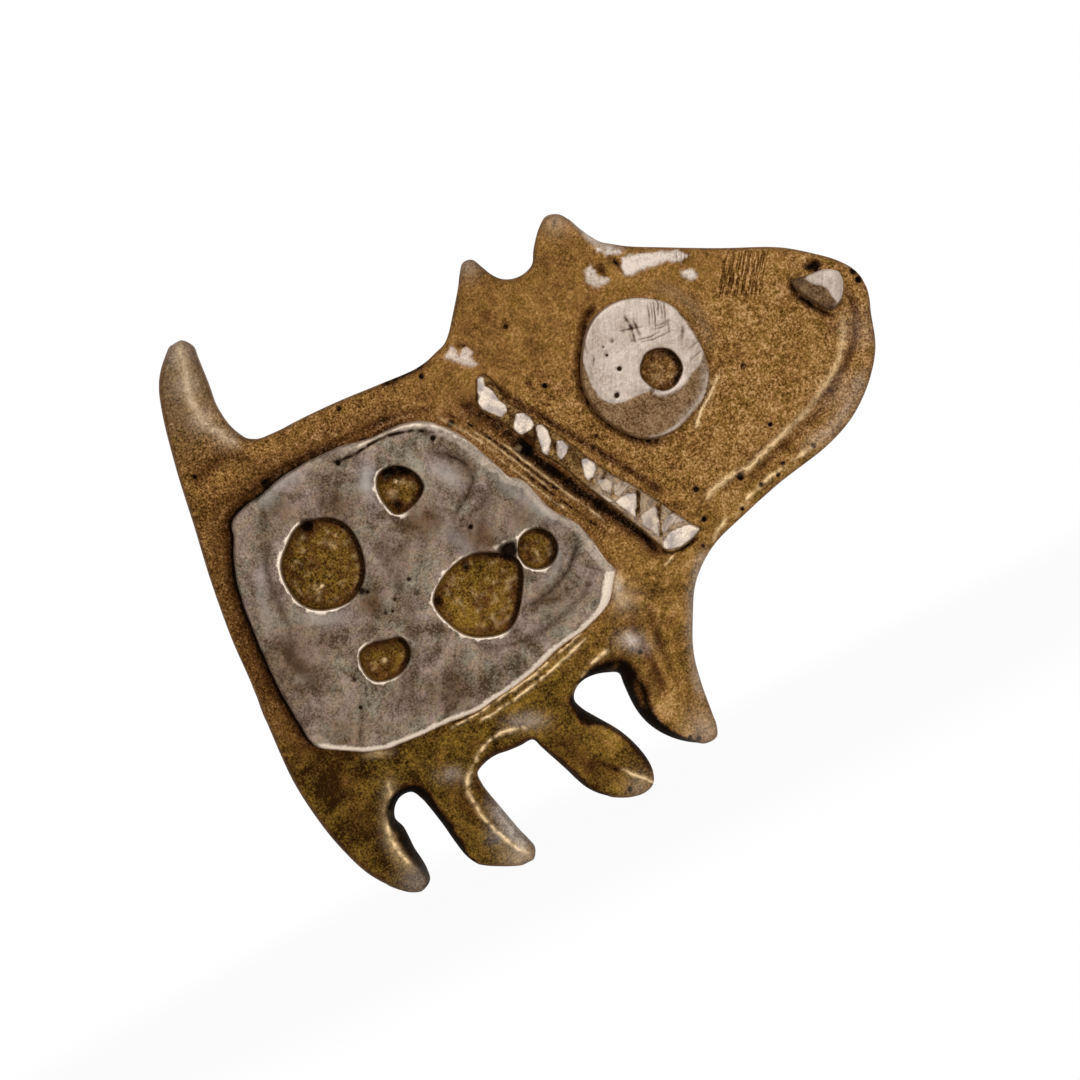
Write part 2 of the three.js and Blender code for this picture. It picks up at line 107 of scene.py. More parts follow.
# How large the rings of points in a pit are against its radius, and how far each is turned, in degrees.
PIT_RINGS = ((0.35, 0), (0.75, 18), (1.15, 0))
PIT_RING_COUNT = 10
# How far beside a patch's outline its rows of points lie.
PATCH_ROWS = (-0.04, 0.04)
# How far the points of detail and of the honeycomb stay from a plate's edges, the small square that only one
# point of detail lies in, and how much wider the honeycomb is where nothing shows.
DETAIL_CLEARANCE = 0.02
HONEYCOMB_CLEARANCE = 0.04
DETAIL_SQUARE = 0.028
COARSE_FACTOR = 5

# How a drawn line wavers and comes and goes: the size and the reach of its bends, the size of its gaps, and
# the stretch over which it fades at each end. Lines with half widths between the last two break up the most.
BEND_SIZE = 0.35
BEND_REACH = 0.07
GAP_SIZE = 0.33
END_FADE = 0.7
BROKEN_FROM = 0.08
BROKEN_TO = 0.2
# How far a spot's outline strays from a circle, the size of its bays, and the radius under which its floor
# is the flattest.
SPOT_WANDER = 0.22
BAY_SIZE = 0.22
FLATTEST_SPOT = 0.3

# Depths of the solids, measured to the front from the flat back.
BACK = 0.0
SEAT = 2.0
FACE = 3.0
SADDLE_TOP = 3.45
EYE_TOP = 4.0
NOSE_TOP = 3.9
COLLAR_TOP = 3.5

# The floors of the windows and the pupil, and the feet of the rounded edges around them.
WINDOW_FLOOR = SEAT + 0.2
WINDOW_FOOT = FACE - 0.05
PUPIL_FLOOR = FACE - 0.15
PUPIL_FOOT = FACE + 0.5
EYE_PUPIL_FOOT = EYE_TOP - 0.4
# How wide the step down to a seat or a floor is, and how far the casting stays under a seat.
STEP_WIDTH = 0.03
SEAT_GAP = 0.02

# How far the surfaces lie under their solids' faces before anything rises on them.
CASTING_MARGIN = 0.07
SADDLE_MARGIN = 0.10
EYE_MARGIN = 0.03
NOSE_MARGIN = 0.04
COLLAR_MARGIN = 0.27

# The usual rounded rims: how wide they are, and on the casting the height of their foot.
CASTING_RIM = 0.50
CASTING_RIM_FOOT = 2.10
EYE_RIM = 0.24
PUPIL_RIM = 0.10
NOSE_RIM = 0.26
COLLAR_RIM = 0.22
SADDLE_RIM = 0.28
WINDOW_RIM = 0.14
# How far the feet of the rims of eye and nose lie under their tops, and under the face on the low side.
EYE_RIM_DROP = 0.22
NOSE_RIM_DROP = 0.25
LOW_SIDE_DROP = 0.20

# How the facets of the eye and the nose fall away: millimetres for each millimetre.
EYE_FACET_SLOPE = math.tan(math.radians(16))
NOSE_FACET_SLOPE = 0.60
NOSE_FLAT_SLOPE = 0.03

# A line on the metal: its path in pixels, the half width in millimetres, how far it rises, how dark it is with
# patina and painted shade, and how rubbed it is with wear and painted highlights.
Stroke = namedtuple("Stroke", "path half_width rise dark shine", defaults=(0.0, 0.0, 0.0))
# A small round place: its pixel, its radius in millimetres, and the same three measures.
Spot = namedtuple("Spot", "place radius rise dark shine", defaults=(0.0, 0.0, 0.0))
# A place with an outline in pixels, and how high and how bright it is inside.
Patch = namedtuple("Patch", "outline rise bright", defaults=(0.0, 1.0))
# A stretch of the casting's edge that slopes more than the rest: its path, of pixels with the slope's width in
# millimetres at each, the height of its foot, and how dark it is painted as shade.
Slope = namedtuple("Slope", "path foot dark")

# Lines of the muzzle.
LIP_GROOVE = [
    (846, 290), (853, 304), (856, 320), (854.5, 337), (850, 352.5), (842, 371), (831, 389), (819, 401),
    (805, 414), (791, 428), (775, 441), (760, 453), (745, 465),
]
LIP_RIDGE = [
    (842, 317), (842, 345), (834, 370), (822, 390), (808, 410), (788, 429), (772, 444), (755, 460),
    (745, 469), (733, 474), (722, 481), (713, 489), (707, 498),
]
LIP_RIDGE_BRIGHT = LIP_RIDGE[4:]
JAW_GLINTS = [
    [(812, 447), (801, 455), (791, 461)], [(786, 466), (776, 472), (765, 480), (757, 488)],
    [(754, 492), (747, 499), (741, 506)], [(727, 519), (720, 528), (712, 541)],
    [(734, 477), (724, 481), (714, 491)],
]
JAW_HOLLOW = [(838, 386), (826, 403), (811, 422), (793, 438), (776, 453), (760, 468), (748, 480)]
JAW_BEVEL = [(862, 372), (850, 400), (832, 428), (806, 446)]
NOSE_GROOVE = [(791, 281), (795, 292), (806, 302), (819, 310), (832, 315)]

# The grey bevel from the ear's tip down to the brow.
EAR_BEVEL = [(562, 212), (573, 219), (584, 231), (594, 242), (606, 248), (622, 249)]

# Lines around the eye. The socket's dark line at the eye's left and below it is painted shade, and the golden
# lines at its lower right are painted highlights.
SOCKET = [
    (594, 308), (586, 320), (582, 340), (580.5, 362), (581, 384), (588, 402), (600, 415), (614, 427),
    (630, 436), (645, 440.5), (668, 441),
]
SOCKET_WARM = [(655, 288), (675, 294), (692, 306), (703, 325), (709, 345)]
SOCKET_GOLD = [(666, 434), (684, 417), (697, 402), (704, 389), (708, 380)]
SOCKET_GOLD_OUTER = [(696, 427), (701, 410), (709, 395), (718, 376)]

# Lines between the collar and the saddle, and beside the collar on its head side.
COLLAR_GROOVE = [
    (484, 378), (498, 390), (512, 400), (527, 409), (543, 418), (559, 428), (574, 437), (590, 446),
    (606, 456), (623, 466), (640, 477), (652, 485), (661, 492),
]
COLLAR_SHADOW = [
    (462, 401), (477, 411), (492, 420), (505, 431), (518, 443), (536, 458), (555, 473), (575, 487),
    (595, 501), (614, 514), (633, 528), (648, 540), (659, 553),
]
COLLAR_SHADOW_DEEP = COLLAR_SHADOW[4:]
NECK_BAND = [(440, 408), (470, 424), (500, 444), (530, 466), (560, 488), (590, 508), (615, 524)]
NECK_PATH = [(446, 406), (476, 421), (503, 440), (530, 461), (556, 481), (582, 500), (606, 517)]
NECK_LINES = [
    Stroke([(x - 0.55 * gap, y + 0.83 * gap) for x, y in NECK_PATH[first:last]], 0.09, rise, dark, shine)
    for gap, first, last, rise, dark, shine in (
        (3, 2, 7, 0.06, 0.0, 0.60), (6.5, 0, 5, -0.10, 0.60, 0.0), (9.5, 1, 5, 0.05, 0.0, 0.45),
        (12.5, 3, 7, -0.10, 0.65, 0.0), (15, 0, 3, 0.05, 0.0, 0.45), (17.5, 2, 6, 0.04, 0.0, 0.40),
    )
]
SLIT_UPPER = [(545, 483), (552, 486), (560, 490)]
SLIT_LOWER = [(550, 498), (560, 506)]
COLLAR_END_DARK = [(661, 551), (673, 551), (684, 547), (697, 537)]
COLLAR_END_GOLD = [(677, 551), (671, 558), (665, 565)]

# Lines on the body, around the saddle. The tail's crest is a painted highlight, and the crease at the tail's root
# and the moat at the saddle's upper left are partly painted shade.
TAIL_CREST = [(180, 345), (186, 374), (192, 402), (206, 423), (225, 437), (238, 446)]
TAIL_CREASE = [(199, 480), (207, 468), (222, 460), (238, 458), (254, 461)]
BACK_FINE = [(366, 431), (385, 421), (400, 416), (418, 411), (436, 409)]
BACK_EDGE = [(380, 386), (396, 379), (412, 371), (430, 361)]
UPPER_MOAT = [(247, 496), (262, 484), (282, 471), (305, 458), (330, 446), (352, 436), (372, 425), (395, 415)]
FLANK_SCRATCH = [(583, 630), (557, 654), (529, 678), (500, 698), (478, 713), (452, 727)]
FLANK_SCRATCH_DARK = [(578, 629), (552, 652), (525, 675), (498, 693), (476, 708), (450, 722)]
FLANK_SCRATCH_OUTER = [(586, 638), (560, 662), (532, 686), (503, 707), (480, 721)]
CHEST_CREASE = [(630, 616), (638, 636), (647, 654), (656, 672), (664, 694)]
CHEST_CREASE_OUTER = [(650, 604), (654, 624), (660, 644), (672, 668)]

# Lines on the legs. The golden crests, ridges and glints are painted highlights, the sheens are painted
# reflections, and the dark creases are partly painted shade.
HIND_CREST = [(389, 782), (391, 800), (389, 820), (391, 838), (400, 853), (412, 868)]
HIND_GLINT = [(366, 754), (378, 752), (392, 752)]
SECOND_RIDGE = [(473, 768), (467, 782), (472, 799), (485, 818), (500, 834), (515, 846), (530, 854)]
SECOND_ROSY = [(492, 802), (504, 818), (516, 836), (527, 852)]
SECOND_DARK = [(473, 775), (483, 794), (495, 811), (505, 825)]
SECOND_BROW = [(473, 767), (480, 752), (497, 735), (515, 729), (530, 729)]
THIRD_CREASE = [(598, 762), (610, 766), (622, 771)]
THIRD_GLINT = [(622, 769), (636, 775), (648, 780), (656, 784)]
THIRD_TOP = [(577, 700), (583, 677), (599, 657), (611, 650)]
ARCH_SHEEN = [(508, 724), (524, 720), (545, 721)]
FLANK_SHEEN = [(440, 776), (452, 774), (464, 776)]
CHEST_SHEEN = [(622, 640), (632, 640), (644, 646)]
GAP_GLINTS = [[(635, 680), (639, 694), (644, 708)], [(608, 671), (614, 668), (617, 661)]]
SADDLE_END_SHEEN = [(612, 574), (618, 586), (617, 600)]
CHEST_EDGE = [(706, 552), (700, 566), (695, 590), (693, 620), (696, 660), (703, 700)]

# The casting's lines. A line's darkness is partly patina in its groove and partly painted shade, and its rubbed
# share partly wear and partly a painted highlight.
CASTING_STROKES = [
    Stroke(LIP_GROOVE, 0.24, -0.30, 0.50),
    Stroke(LIP_RIDGE, 0.22, 0.08, 0.0, 0.50),
    Stroke(LIP_RIDGE_BRIGHT, 0.11, 0.07, 0.0, 1.0),
    *[Stroke(part, 0.14, 0.08, 0.0, 0.95) for part in JAW_GLINTS],
    Stroke(JAW_HOLLOW, 0.26, -0.16, 0.36),
    Stroke(NOSE_GROOVE, 0.20, -0.55, 1.0),
    Stroke(SOCKET, 0.26, -0.45, 0.50),
    Stroke(SOCKET, 0.12, -0.05, 0.60),
    Stroke(SOCKET_WARM, 0.45, -0.15, 0.25, 0.15),
    Stroke(SOCKET_GOLD, 0.15, 0.06, 0.0, 1.0),
    Stroke(SOCKET_GOLD_OUTER, 0.13, 0.06, 0.0, 1.0),
    Stroke(COLLAR_GROOVE, 0.24, -0.24, 0.50),
    Stroke(COLLAR_GROOVE, 0.12, -0.04, 0.30),
    Stroke(NECK_BAND, 0.95, -0.06, 0.30),
    Stroke(COLLAR_SHADOW, 0.50, -0.40, 0.70),
    Stroke(COLLAR_SHADOW_DEEP, 0.30, -0.20, 0.80),
    *NECK_LINES,
    Stroke(SLIT_UPPER, 0.13, -0.35, 1.0),
    Stroke(SLIT_LOWER, 0.12, -0.30, 0.90),
    Stroke(COLLAR_END_DARK, 0.14, -0.30, 0.95),
    Stroke(COLLAR_END_GOLD, 0.09, 0.05, 0.0, 0.90),
    Stroke(TAIL_CREST, 0.42, 0.10, 0.0, 0.30),
    Stroke(TAIL_CREASE, 0.45, -0.12, 0.40),
    Stroke(BACK_FINE, 0.20, -0.10, 0.45),
    Stroke(BACK_EDGE, 0.22, -0.30, 1.0),
    Stroke(UPPER_MOAT, 0.26, -0.22, 0.42),
    Stroke(FLANK_SCRATCH, 0.10, 0.10, 0.0, 1.0),
    Stroke(FLANK_SCRATCH_DARK, 0.12, -0.16, 0.85),
    Stroke(FLANK_SCRATCH_OUTER, 0.10, 0.05, 0.0, 0.80),
    Stroke(CHEST_CREASE, 0.30, -0.18, 0.55),
    Stroke(CHEST_CREASE_OUTER, 0.30, -0.12, 0.42),
    Stroke(HIND_CREST, 0.14, 0.06, 0.0, 0.80),
    Stroke(HIND_CREST, 0.55, 0.06, 0.0, 0.30),
    Stroke(HIND_GLINT, 0.30, 0.03, 0.0, 0.35),
    Stroke(SECOND_RIDGE, 0.15, 0.08, 0.0, 0.70),
    Stroke(SECOND_DARK, 0.17, -0.12, 0.60),
    # Broad dark strokes over the legs: painted shade.
    Stroke([(448, 776), (462, 796), (480, 822)], 0.80, -0.02, 0.30),
    Stroke([(556, 736), (576, 756), (598, 774)], 0.70, -0.04, 0.34),
    Stroke([(330, 762), (352, 800), (382, 840)], 1.00, -0.02, 0.24),
    Stroke(SECOND_BROW, 0.12, 0.08, 0.0, 0.75),
    Stroke(THIRD_CREASE, 0.18, -0.15, 0.75),
    Stroke(THIRD_GLINT, 0.10, 0.06, 0.0, 0.95),
    Stroke(THIRD_TOP, 0.15, 0.06, 0.0, 0.80),
]
# Painted sheens: soft highlights and reflections on the casting, which raise its bright share as worn places do.
SHEENS = [
    Stroke(ARCH_SHEEN, 0.55, shine=0.36),
    Stroke(FLANK_SHEEN, 0.55, shine=0.30),
    Stroke(CHEST_SHEEN, 0.60, shine=0.80),
    Stroke(CHEST_EDGE, 0.45, shine=0.35),
    Stroke(SECOND_ROSY, 0.50, shine=0.70),
    Stroke(TAIL_CREST, 0.30, shine=0.26),
    Stroke(EAR_BEVEL, 0.26, shine=0.75),
    Stroke(JAW_BEVEL, 0.50, shine=0.28),
    Stroke(SADDLE_END_SHEEN, 0.40, shine=0.45),
]

# Pits, stains and small bright places of the casting, which are partly rubbed and partly painted highlights.
CASTING_SPOTS = [
    Spot((195.5, 477), 0.17, -0.20, 1.0),
    Spot((339, 409), 0.20, -0.15, 0.8),
    Spot((363, 441), 0.25, -0.15, 0.8),
    Spot((265, 483), 0.30, -0.20, 0.9),
    Spot((451, 423.6), 0.26, -0.20, 0.9),
    Spot((421.5, 376.5), 0.20, -0.15, 0.9),
    Spot((545, 386), 0.20, -0.25, 1.0),
    Spot((529, 384), 0.22, -0.10, 0.5),
    Spot((506, 327), 0.19, -0.15, 0.8),
    Spot((485, 316), 0.40, -0.06, 0.4),
    Spot((526, 446), 0.62, -0.50, 1.0),
    Spot((519, 448), 0.22, 0.15, 0.0, 0.5),
    Spot((740, 472), 0.26, -0.30, 1.0),
    Spot((740, 477), 0.24, -0.30, 1.0),
    Spot((783, 463.5), 0.16, -0.20, 1.0),
    Spot((778, 475), 0.14, -0.20, 1.0),
    Spot((813, 446), 0.16, -0.20, 1.0),
    Spot((761, 485), 0.15, -0.20, 0.9),
    Spot((742, 509), 0.15, -0.20, 0.9),
    Spot((696, 489.5), 0.22, -0.20, 0.9),
    Spot((704, 519), 0.20, -0.25, 1.0),
    Spot((703, 546), 0.14, -0.20, 0.9),
    Spot((743, 366), 0.22, -0.15, 0.7),
    Spot((770, 424.5), 0.18, -0.25, 1.0),
    Spot((568, 641), 0.20, -0.30, 1.0),
    Spot((563, 646), 0.18, -0.30, 1.0),
    Spot((640, 652), 0.17, -0.15, 0.9),
    Spot((699, 738), 0.20, -0.10, 0.9),
    Spot((690, 737), 0.14, -0.10, 0.9),
    Spot((630, 789), 0.20, -0.10, 0.9),
    Spot((596, 436), 0.14, -0.10, 0.7),
    Spot((815, 266.5), 0.45, -0.35, 0.95),
    Spot((808, 267), 0.30, -0.25, 0.8),
    Spot((601, 268), 0.30, -0.10, 0.6),
    Spot((852.5, 271.5), 0.24, -0.35, 1.0),
    Spot((858, 280), 0.26, -0.35, 1.0),
    Spot((612, 580), 0.8, 0.03, 0.0, 0.35),
    Spot((622, 600), 0.5, 0.0, 0.0, 0.30),
]

# Greyed places, most of them at the tips of the tail, the ears and the feet: place, radius, and how bare
# they are.
WORN = [
    Spot((178, 352), 1.3, shine=0.24),
    Spot((186, 385), 1.0, shine=0.22),
    Spot((202, 420), 0.9, shine=0.25),
    Spot((225, 438), 0.8, shine=0.16),
    Spot((556, 220), 1.0, shine=0.22),
    Spot((468, 266), 0.9, shine=0.22),
    Spot((706, 730), 1.4, shine=0.30),
    Spot((640, 788), 1.0, shine=0.22),
    Spot((522, 854), 1.3, shine=0.38),
    Spot((500, 835), 0.9, shine=0.25),
    Spot((418, 882), 1.2, shine=0.25),
    Spot((624, 600), 1.0, shine=0.18),
    Spot((860, 330), 1.4, shine=0.12),
    Spot((845, 395), 1.5, shine=0.15),
]

# Bare bright places on the brow, at the ear and on the nape, and the dark creases between them.
BARE_PATCHES = [
    Patch([(622, 259), (633, 254.5), (650, 253.5), (667, 251.5), (678, 250.5), (689, 255), (680, 262),
           (667, 261.5), (652, 267), (640, 271), (632, 277), (624, 275), (621, 267)], 0.07),
    Patch([(681, 272), (686, 270), (693, 270.5), (698, 274), (696, 278.5), (689, 279.5), (683, 277)],
          0.06, 0.9),
    Patch([(585, 272), (591, 266), (595, 270), (598, 276), (606, 277), (610, 281), (604, 286), (594, 288),
           (586, 283)], 0.05, 0.8),
    Patch([(447, 353), (451, 347), (456, 349), (459, 355), (462.5, 348), (468, 348), (472, 352), (471, 358),
           (478, 364), (470, 366.5), (459, 363), (453, 360.5), (446, 359)], 0.05, 0.8),
    Patch([(597, 248), (607, 251.5), (611, 249), (620, 250), (621, 252.5), (612, 254.5), (608, 256),
           (597, 252)], 0.04, 1.0),
]
BROW_CREASES = [
    Stroke([(609, 256), (616, 264), (623, 274)], 0.16, -0.14, 0.80),
    *[Stroke([(x, 249), (x + 0.5, 262)], 0.05, -0.05, 0.70) for x in (676, 681, 684.5, 688)],
    Stroke([(596, 268), (603, 274), (605, 279)], 0.16, -0.10, 0.7),
    Stroke([(455, 346), (461, 346), (470, 346.5)], 0.14, -0.08, 0.8),
]

# The corners of the filed place on the forehead.
FILE_MARKS_FROM = (720, 250)
FILE_MARKS_TO = (764, 298)

# Edges that slope more than the rest: the walls of the gaps between the legs, painted dark as shade.
SLOPES = [
    Slope([(618, 660, 0.8), (624, 668, 1.3), (632, 686, 1.6), (642, 706, 1.3), (656, 724, 0.9),
           (672, 737, 0.5), (690, 742, 0.3)], 0.4, 1.0),
    Slope([(580, 676, 0.25), (590, 668, 0.6), (602, 660, 0.95), (616, 656, 1.2)], 0.4, 0.95),
    Slope([(577, 704, 0.5), (584, 707, 1.0), (596, 712, 1.0), (606, 718, 0.3)], 0.6, 0.9),
    Slope([(612, 724, 0.3), (632, 742, 0.35), (650, 762, 0.4)], 1.2, 0.75),
    Slope([(541, 742, 0.3), (560, 764, 0.5), (580, 782, 0.5), (600, 793, 0.3)], 0.8, 0.8),
    Slope([(418, 782, 0.9), (430, 800, 0.8), (444, 822, 0.75), (458, 846, 0.6), (468, 858, 0.3)], 0.5, 0.95),
    Slope([(395, 800, 0.6), (394, 818, 0.55), (402, 838, 0.8), (414, 858, 0.6), (426, 880, 0.3)], 0.6, 0.9),
    Slope([(396, 800, 0.6), (403, 792, 0.6), (412, 786, 0.7), (419, 782, 0.9)], 0.6, 1.0),
    Slope([(484, 756, 0.35), (500, 748, 0.45), (518, 742, 0.4), (536, 738, 0.3)], 1.2, 0.7),
    Slope([(166, 350, 0.4), (160, 380, 0.4), (168, 440, 0.4), (190, 520, 0.4), (214, 600, 0.3),
           (250, 700, 0.3)], 1.6, 0.30),
    Slope([(262, 730, 0.4), (290, 770, 0.4), (330, 830, 0.4), (380, 878, 0.4)], 1.4, 0.35),
]

# The silver saddle: its seam, soft hollows, stains and pits, bright lips that are partly rubbed and partly painted
# highlights, and the corner where it is widest.
SEAM = [(339, 462), (354, 455), (369, 446), (384, 438), (400, 433), (417, 431.5), (434, 433), (446, 431)]
SADDLE_STROKES = [
    Stroke(SEAM, 0.09, -0.16, 0.95),
    Stroke([(430, 452), (450, 456), (465, 464), (473, 477), (471, 489), (462, 504), (453, 521)],
           0.22, -0.06, 0.75),
    Stroke([(491, 486), (485, 508), (478, 536)], 0.48, -0.05, 0.50),
    Stroke([(578, 538), (573, 560), (561, 580), (543, 597), (525, 609)], 0.28, -0.07, 0.75),
    Stroke([(590, 583), (579, 600), (559, 619), (538, 634), (517, 643), (486, 650)], 0.26, -0.06, 0.60),
    Stroke([(272, 536), (267, 564), (272, 584), (280, 605), (292, 632)], 0.26, -0.05, 0.60),
    Stroke([(290, 500), (272, 512), (256, 526)], 0.42, -0.03, 0.45),
    Stroke([(409, 651), (415, 662), (421, 674)], 0.11, -0.05, 0.60),
    Stroke([(286, 640), (298, 662), (318, 690)], 0.45, -0.03, 0.40),
    Stroke([(330, 498), (318, 508), (306, 512)], 0.30, -0.03, 0.30),
    Stroke([(377, 541), (392, 572), (411, 610), (414, 662)], 0.50, -0.04, 0.42),
    Stroke([(560, 545), (556, 570), (543, 585)], 0.28, 0.03, 0.0, 0.35),
    Stroke([(428, 470), (448, 474), (458, 486)], 0.60, 0.03, 0.0, 0.55),
    Stroke([(300, 614), (322, 620), (345, 615)], 0.50, 0.02, 0.0, 0.45),
    Stroke([(262, 560), (262, 590), (270, 630)], 0.40, 0.03, 0.0, 0.35),
    Stroke([(262, 506), (283, 484), (305, 474)], 0.38, 0.04, 0.0, 0.40),
    Stroke([(497, 478), (515, 490), (535, 505), (560, 522)], 0.50, 0.03, 0.0, 0.40),
    Stroke([(370, 466), (366, 480), (372, 498)], 0.55, 0.03, 0.0, 0.72),
    Stroke([(440, 528), (460, 542), (476, 560)], 0.60, 0.03, 0.0, 0.30),
]
SADDLE_SPOTS = [
    Spot((338.5, 463), 0.20, -0.35, 1.0),
    Spot((433, 438.5), 0.19, -0.35, 1.0),
    Spot((471, 527), 0.17, -0.35, 1.0),
    Spot((409, 579), 0.15, -0.15, 0.9),
    Spot((417, 593), 0.22, -0.10, 0.7),
    Spot((395, 599), 0.15, -0.12, 0.9),
    Spot((386, 613), 0.15, -0.12, 0.8),
    Spot((393, 611), 0.14, -0.12, 0.8),
    Spot((355, 679), 0.16, -0.15, 0.8),
    Spot((361, 707), 0.16, -0.18, 0.9),
    Spot((588, 584), 0.26, -0.06, 0.5),
    Spot((362, 591), 0.22, -0.30, 1.0),
    Spot((368, 592), 0.14, -0.20, 1.0),
    Spot((509, 550), 0.62, -1.05, 1.0),
    Spot((509, 550), 0.50, 0.0, 1.0),
    Spot((389, 474.5), 0.45, -0.80, 1.0),
    Spot((307, 525), 0.42, -0.70, 1.0),
    Spot((401, 640), 0.24, -0.30, 0.9),
]
STAINS = [
    Spot((424, 525), 1.3, 0, 0.88),
    Spot((482, 540), 1.3, 0, 0.80),
    Spot((372, 605), 0.9, 0, 0.95),
    Spot((460, 470), 0.9, 0, 0.40),
    Spot((300, 660), 2.2, 0, 0.56),
    Spot((452, 690), 1.8, 0, 0.48),
    Spot((400, 690), 1.6, 0, 0.24),
    Spot((345, 735), 1.6, 0, 0.48),
    Spot((519, 515), 1.2, 0, 0.56),
    Spot((340, 505), 1.2, 0, 0.56),
    Spot((285, 515), 0.9, 0, 0.56),
    Spot((400, 560), 1.2, 0, 0.40),
    Spot((550, 600), 1.2, 0, 0.40),
    Spot((330, 580), 0.8, 0, 0.16),
]
SEAM_RIM = [(352, 452), (370, 440), (386, 431), (402, 427), (420, 425), (436, 427), (449, 432), (462, 440)]
HOOK_LIP = [(404, 637), (411, 639), (413.5, 644), (410, 650)]
BRIDGE_LIP = [(494, 549), (502, 544), (512, 541), (521, 539)]
SADDLE_CORNER = (608, 585)

# The brass floors of the five windows: lobes at their edges.
FLOOR_SPOTS = [
    Spot((307, 526), 0.50, -0.35, 1.0),
    Spot((388, 473), 0.55, -0.35, 1.0),
    Spot((401, 471), 0.50, -0.25, 0.9),
    Spot((398, 505), 0.45, -0.25, 0.9),
    Spot((396, 481), 0.20, 0.20, 0.0, 0.7),
    Spot((393, 494), 0.40, 0.10, 0.0, 0.3),
    Spot((510, 551), 0.60, -0.40, 1.0),
    Spot((466, 566), 0.30, -0.15, 0.9),
    Spot((437, 601), 0.40, -0.15, 0.8),
    Spot((481, 603), 0.60, -0.08, 0.35),
    Spot((385, 660), 0.22, 0.10, 0.0, 0.6),
    Spot((322, 586), 0.16, 0.08, 0.0, 0.8),
]

# The eye: the outline of its filed flat, the line where the facet below it starts, scratches and pits.
EYE_FLAT = [
    (617, 298), (630, 296.5), (645, 297.5), (660, 300.5), (673, 308.5), (684, 321), (692, 334), (699, 345),
    (703, 354), (700, 364), (692, 374), (682, 386), (671, 393.5), (662, 396), (652, 391.5), (643, 394),
    (633, 398.5), (617, 404), (603, 401), (593, 389), (587, 374), (582.5, 360), (582.5, 343), (586, 327),
    (596, 313), (606, 303),
]
EYE_FACET = [(588, 357), (593, 374), (600, 388), (612, 400), (628, 405), (641, 402), (655, 397), (672, 393),
             (686, 383), (697, 372), (703, 362)]
EYE_LIP = [(647, 389), (654, 393), (662, 395.5), (672, 392.5), (682, 384), (690, 375)]
EYE_SCRATCHES = [
    *[Stroke([(x, low), (x + 1.5, (low + high) / 2), (x + 2, high)], 0.05, -0.03, dark)
      for x, low, high, dark in ((647, 306, 326, 0.75), (650, 304, 322, 0.55), (653, 303, 331, 0.8),
                                 (656, 299, 316, 0.95), (660, 304, 320, 0.5), (663, 301, 326, 0.6),
                                 (667, 322, 334, 0.5))],
    *[Stroke([(x, y), (x + 0.5 * reach, y - 0.15 * reach), (x + reach, y - 0.4 * reach)], 0.05, -0.03, dark)
      for x, y, reach, dark in ((638, 341, 22, 0.6), (642, 343, 30, 0.45), (652, 331, 16, 0.6),
                                (655, 327, 14, 0.7))],
    *[Stroke([(x, y), (x + 3, y + 6), (x + 7, y + reach)], 0.09, -0.04, dark)
      for x, y, reach, dark in ((624, 317, 15, 0.8), (621, 326, 13, 0.7), (628, 324, 18, 0.95),
                                (633, 322, 15, 0.8), (627, 333, 9, 0.8))],
    Stroke([(620, 332), (629, 330), (641, 328)], 0.07, -0.03, 0.75),
    Stroke([(682, 328), (681.5, 338)], 0.11, -0.03, 0.75),
    Stroke([(593, 356), (593.5, 366)], 0.07, -0.06, 0.85),
    Stroke([(643, 393), (650, 393)], 0.16, -0.05, 0.50),
    Stroke([(688, 350), (697, 343), (704, 337)], 0.07, -0.03, 0.45),
    Stroke([(690, 362), (698, 354), (705, 348)], 0.06, -0.03, 0.40),
]
EYE_SPOTS = [
    Spot((606.5, 356), 0.10, -0.15, 0.9),
    Spot((603, 348), 0.10, -0.05, 0.6),
    Spot((612, 342), 0.10, -0.05, 0.5),
    Spot((619, 369.5), 0.17, -0.25, 1.0),
    Spot((616.5, 396), 0.18, -0.25, 1.0),
    Spot((652, 391), 0.20, -0.05, 0.5),
]
PUPIL_SHADE = [(671, 351), (677, 356), (681, 366), (682, 375), (676, 383), (668, 388)]

# The nose: the outline of its bright facet, and the line along which the dark one starts.
NOSE_BRIGHT = [
    (803, 280), (810, 272.5), (824, 269), (836, 270.5), (843, 276.5), (844, 287), (841, 298), (836, 303),
    (831, 298), (827, 291), (821, 287), (812, 285),
]
NOSE_EDGE = [(842, 287), (839, 298), (833, 309)]
NOSE_FACET = [(806, 279), (813, 283.5), (820, 284.5), (822, 289), (828, 292), (832, 297), (835, 304)]

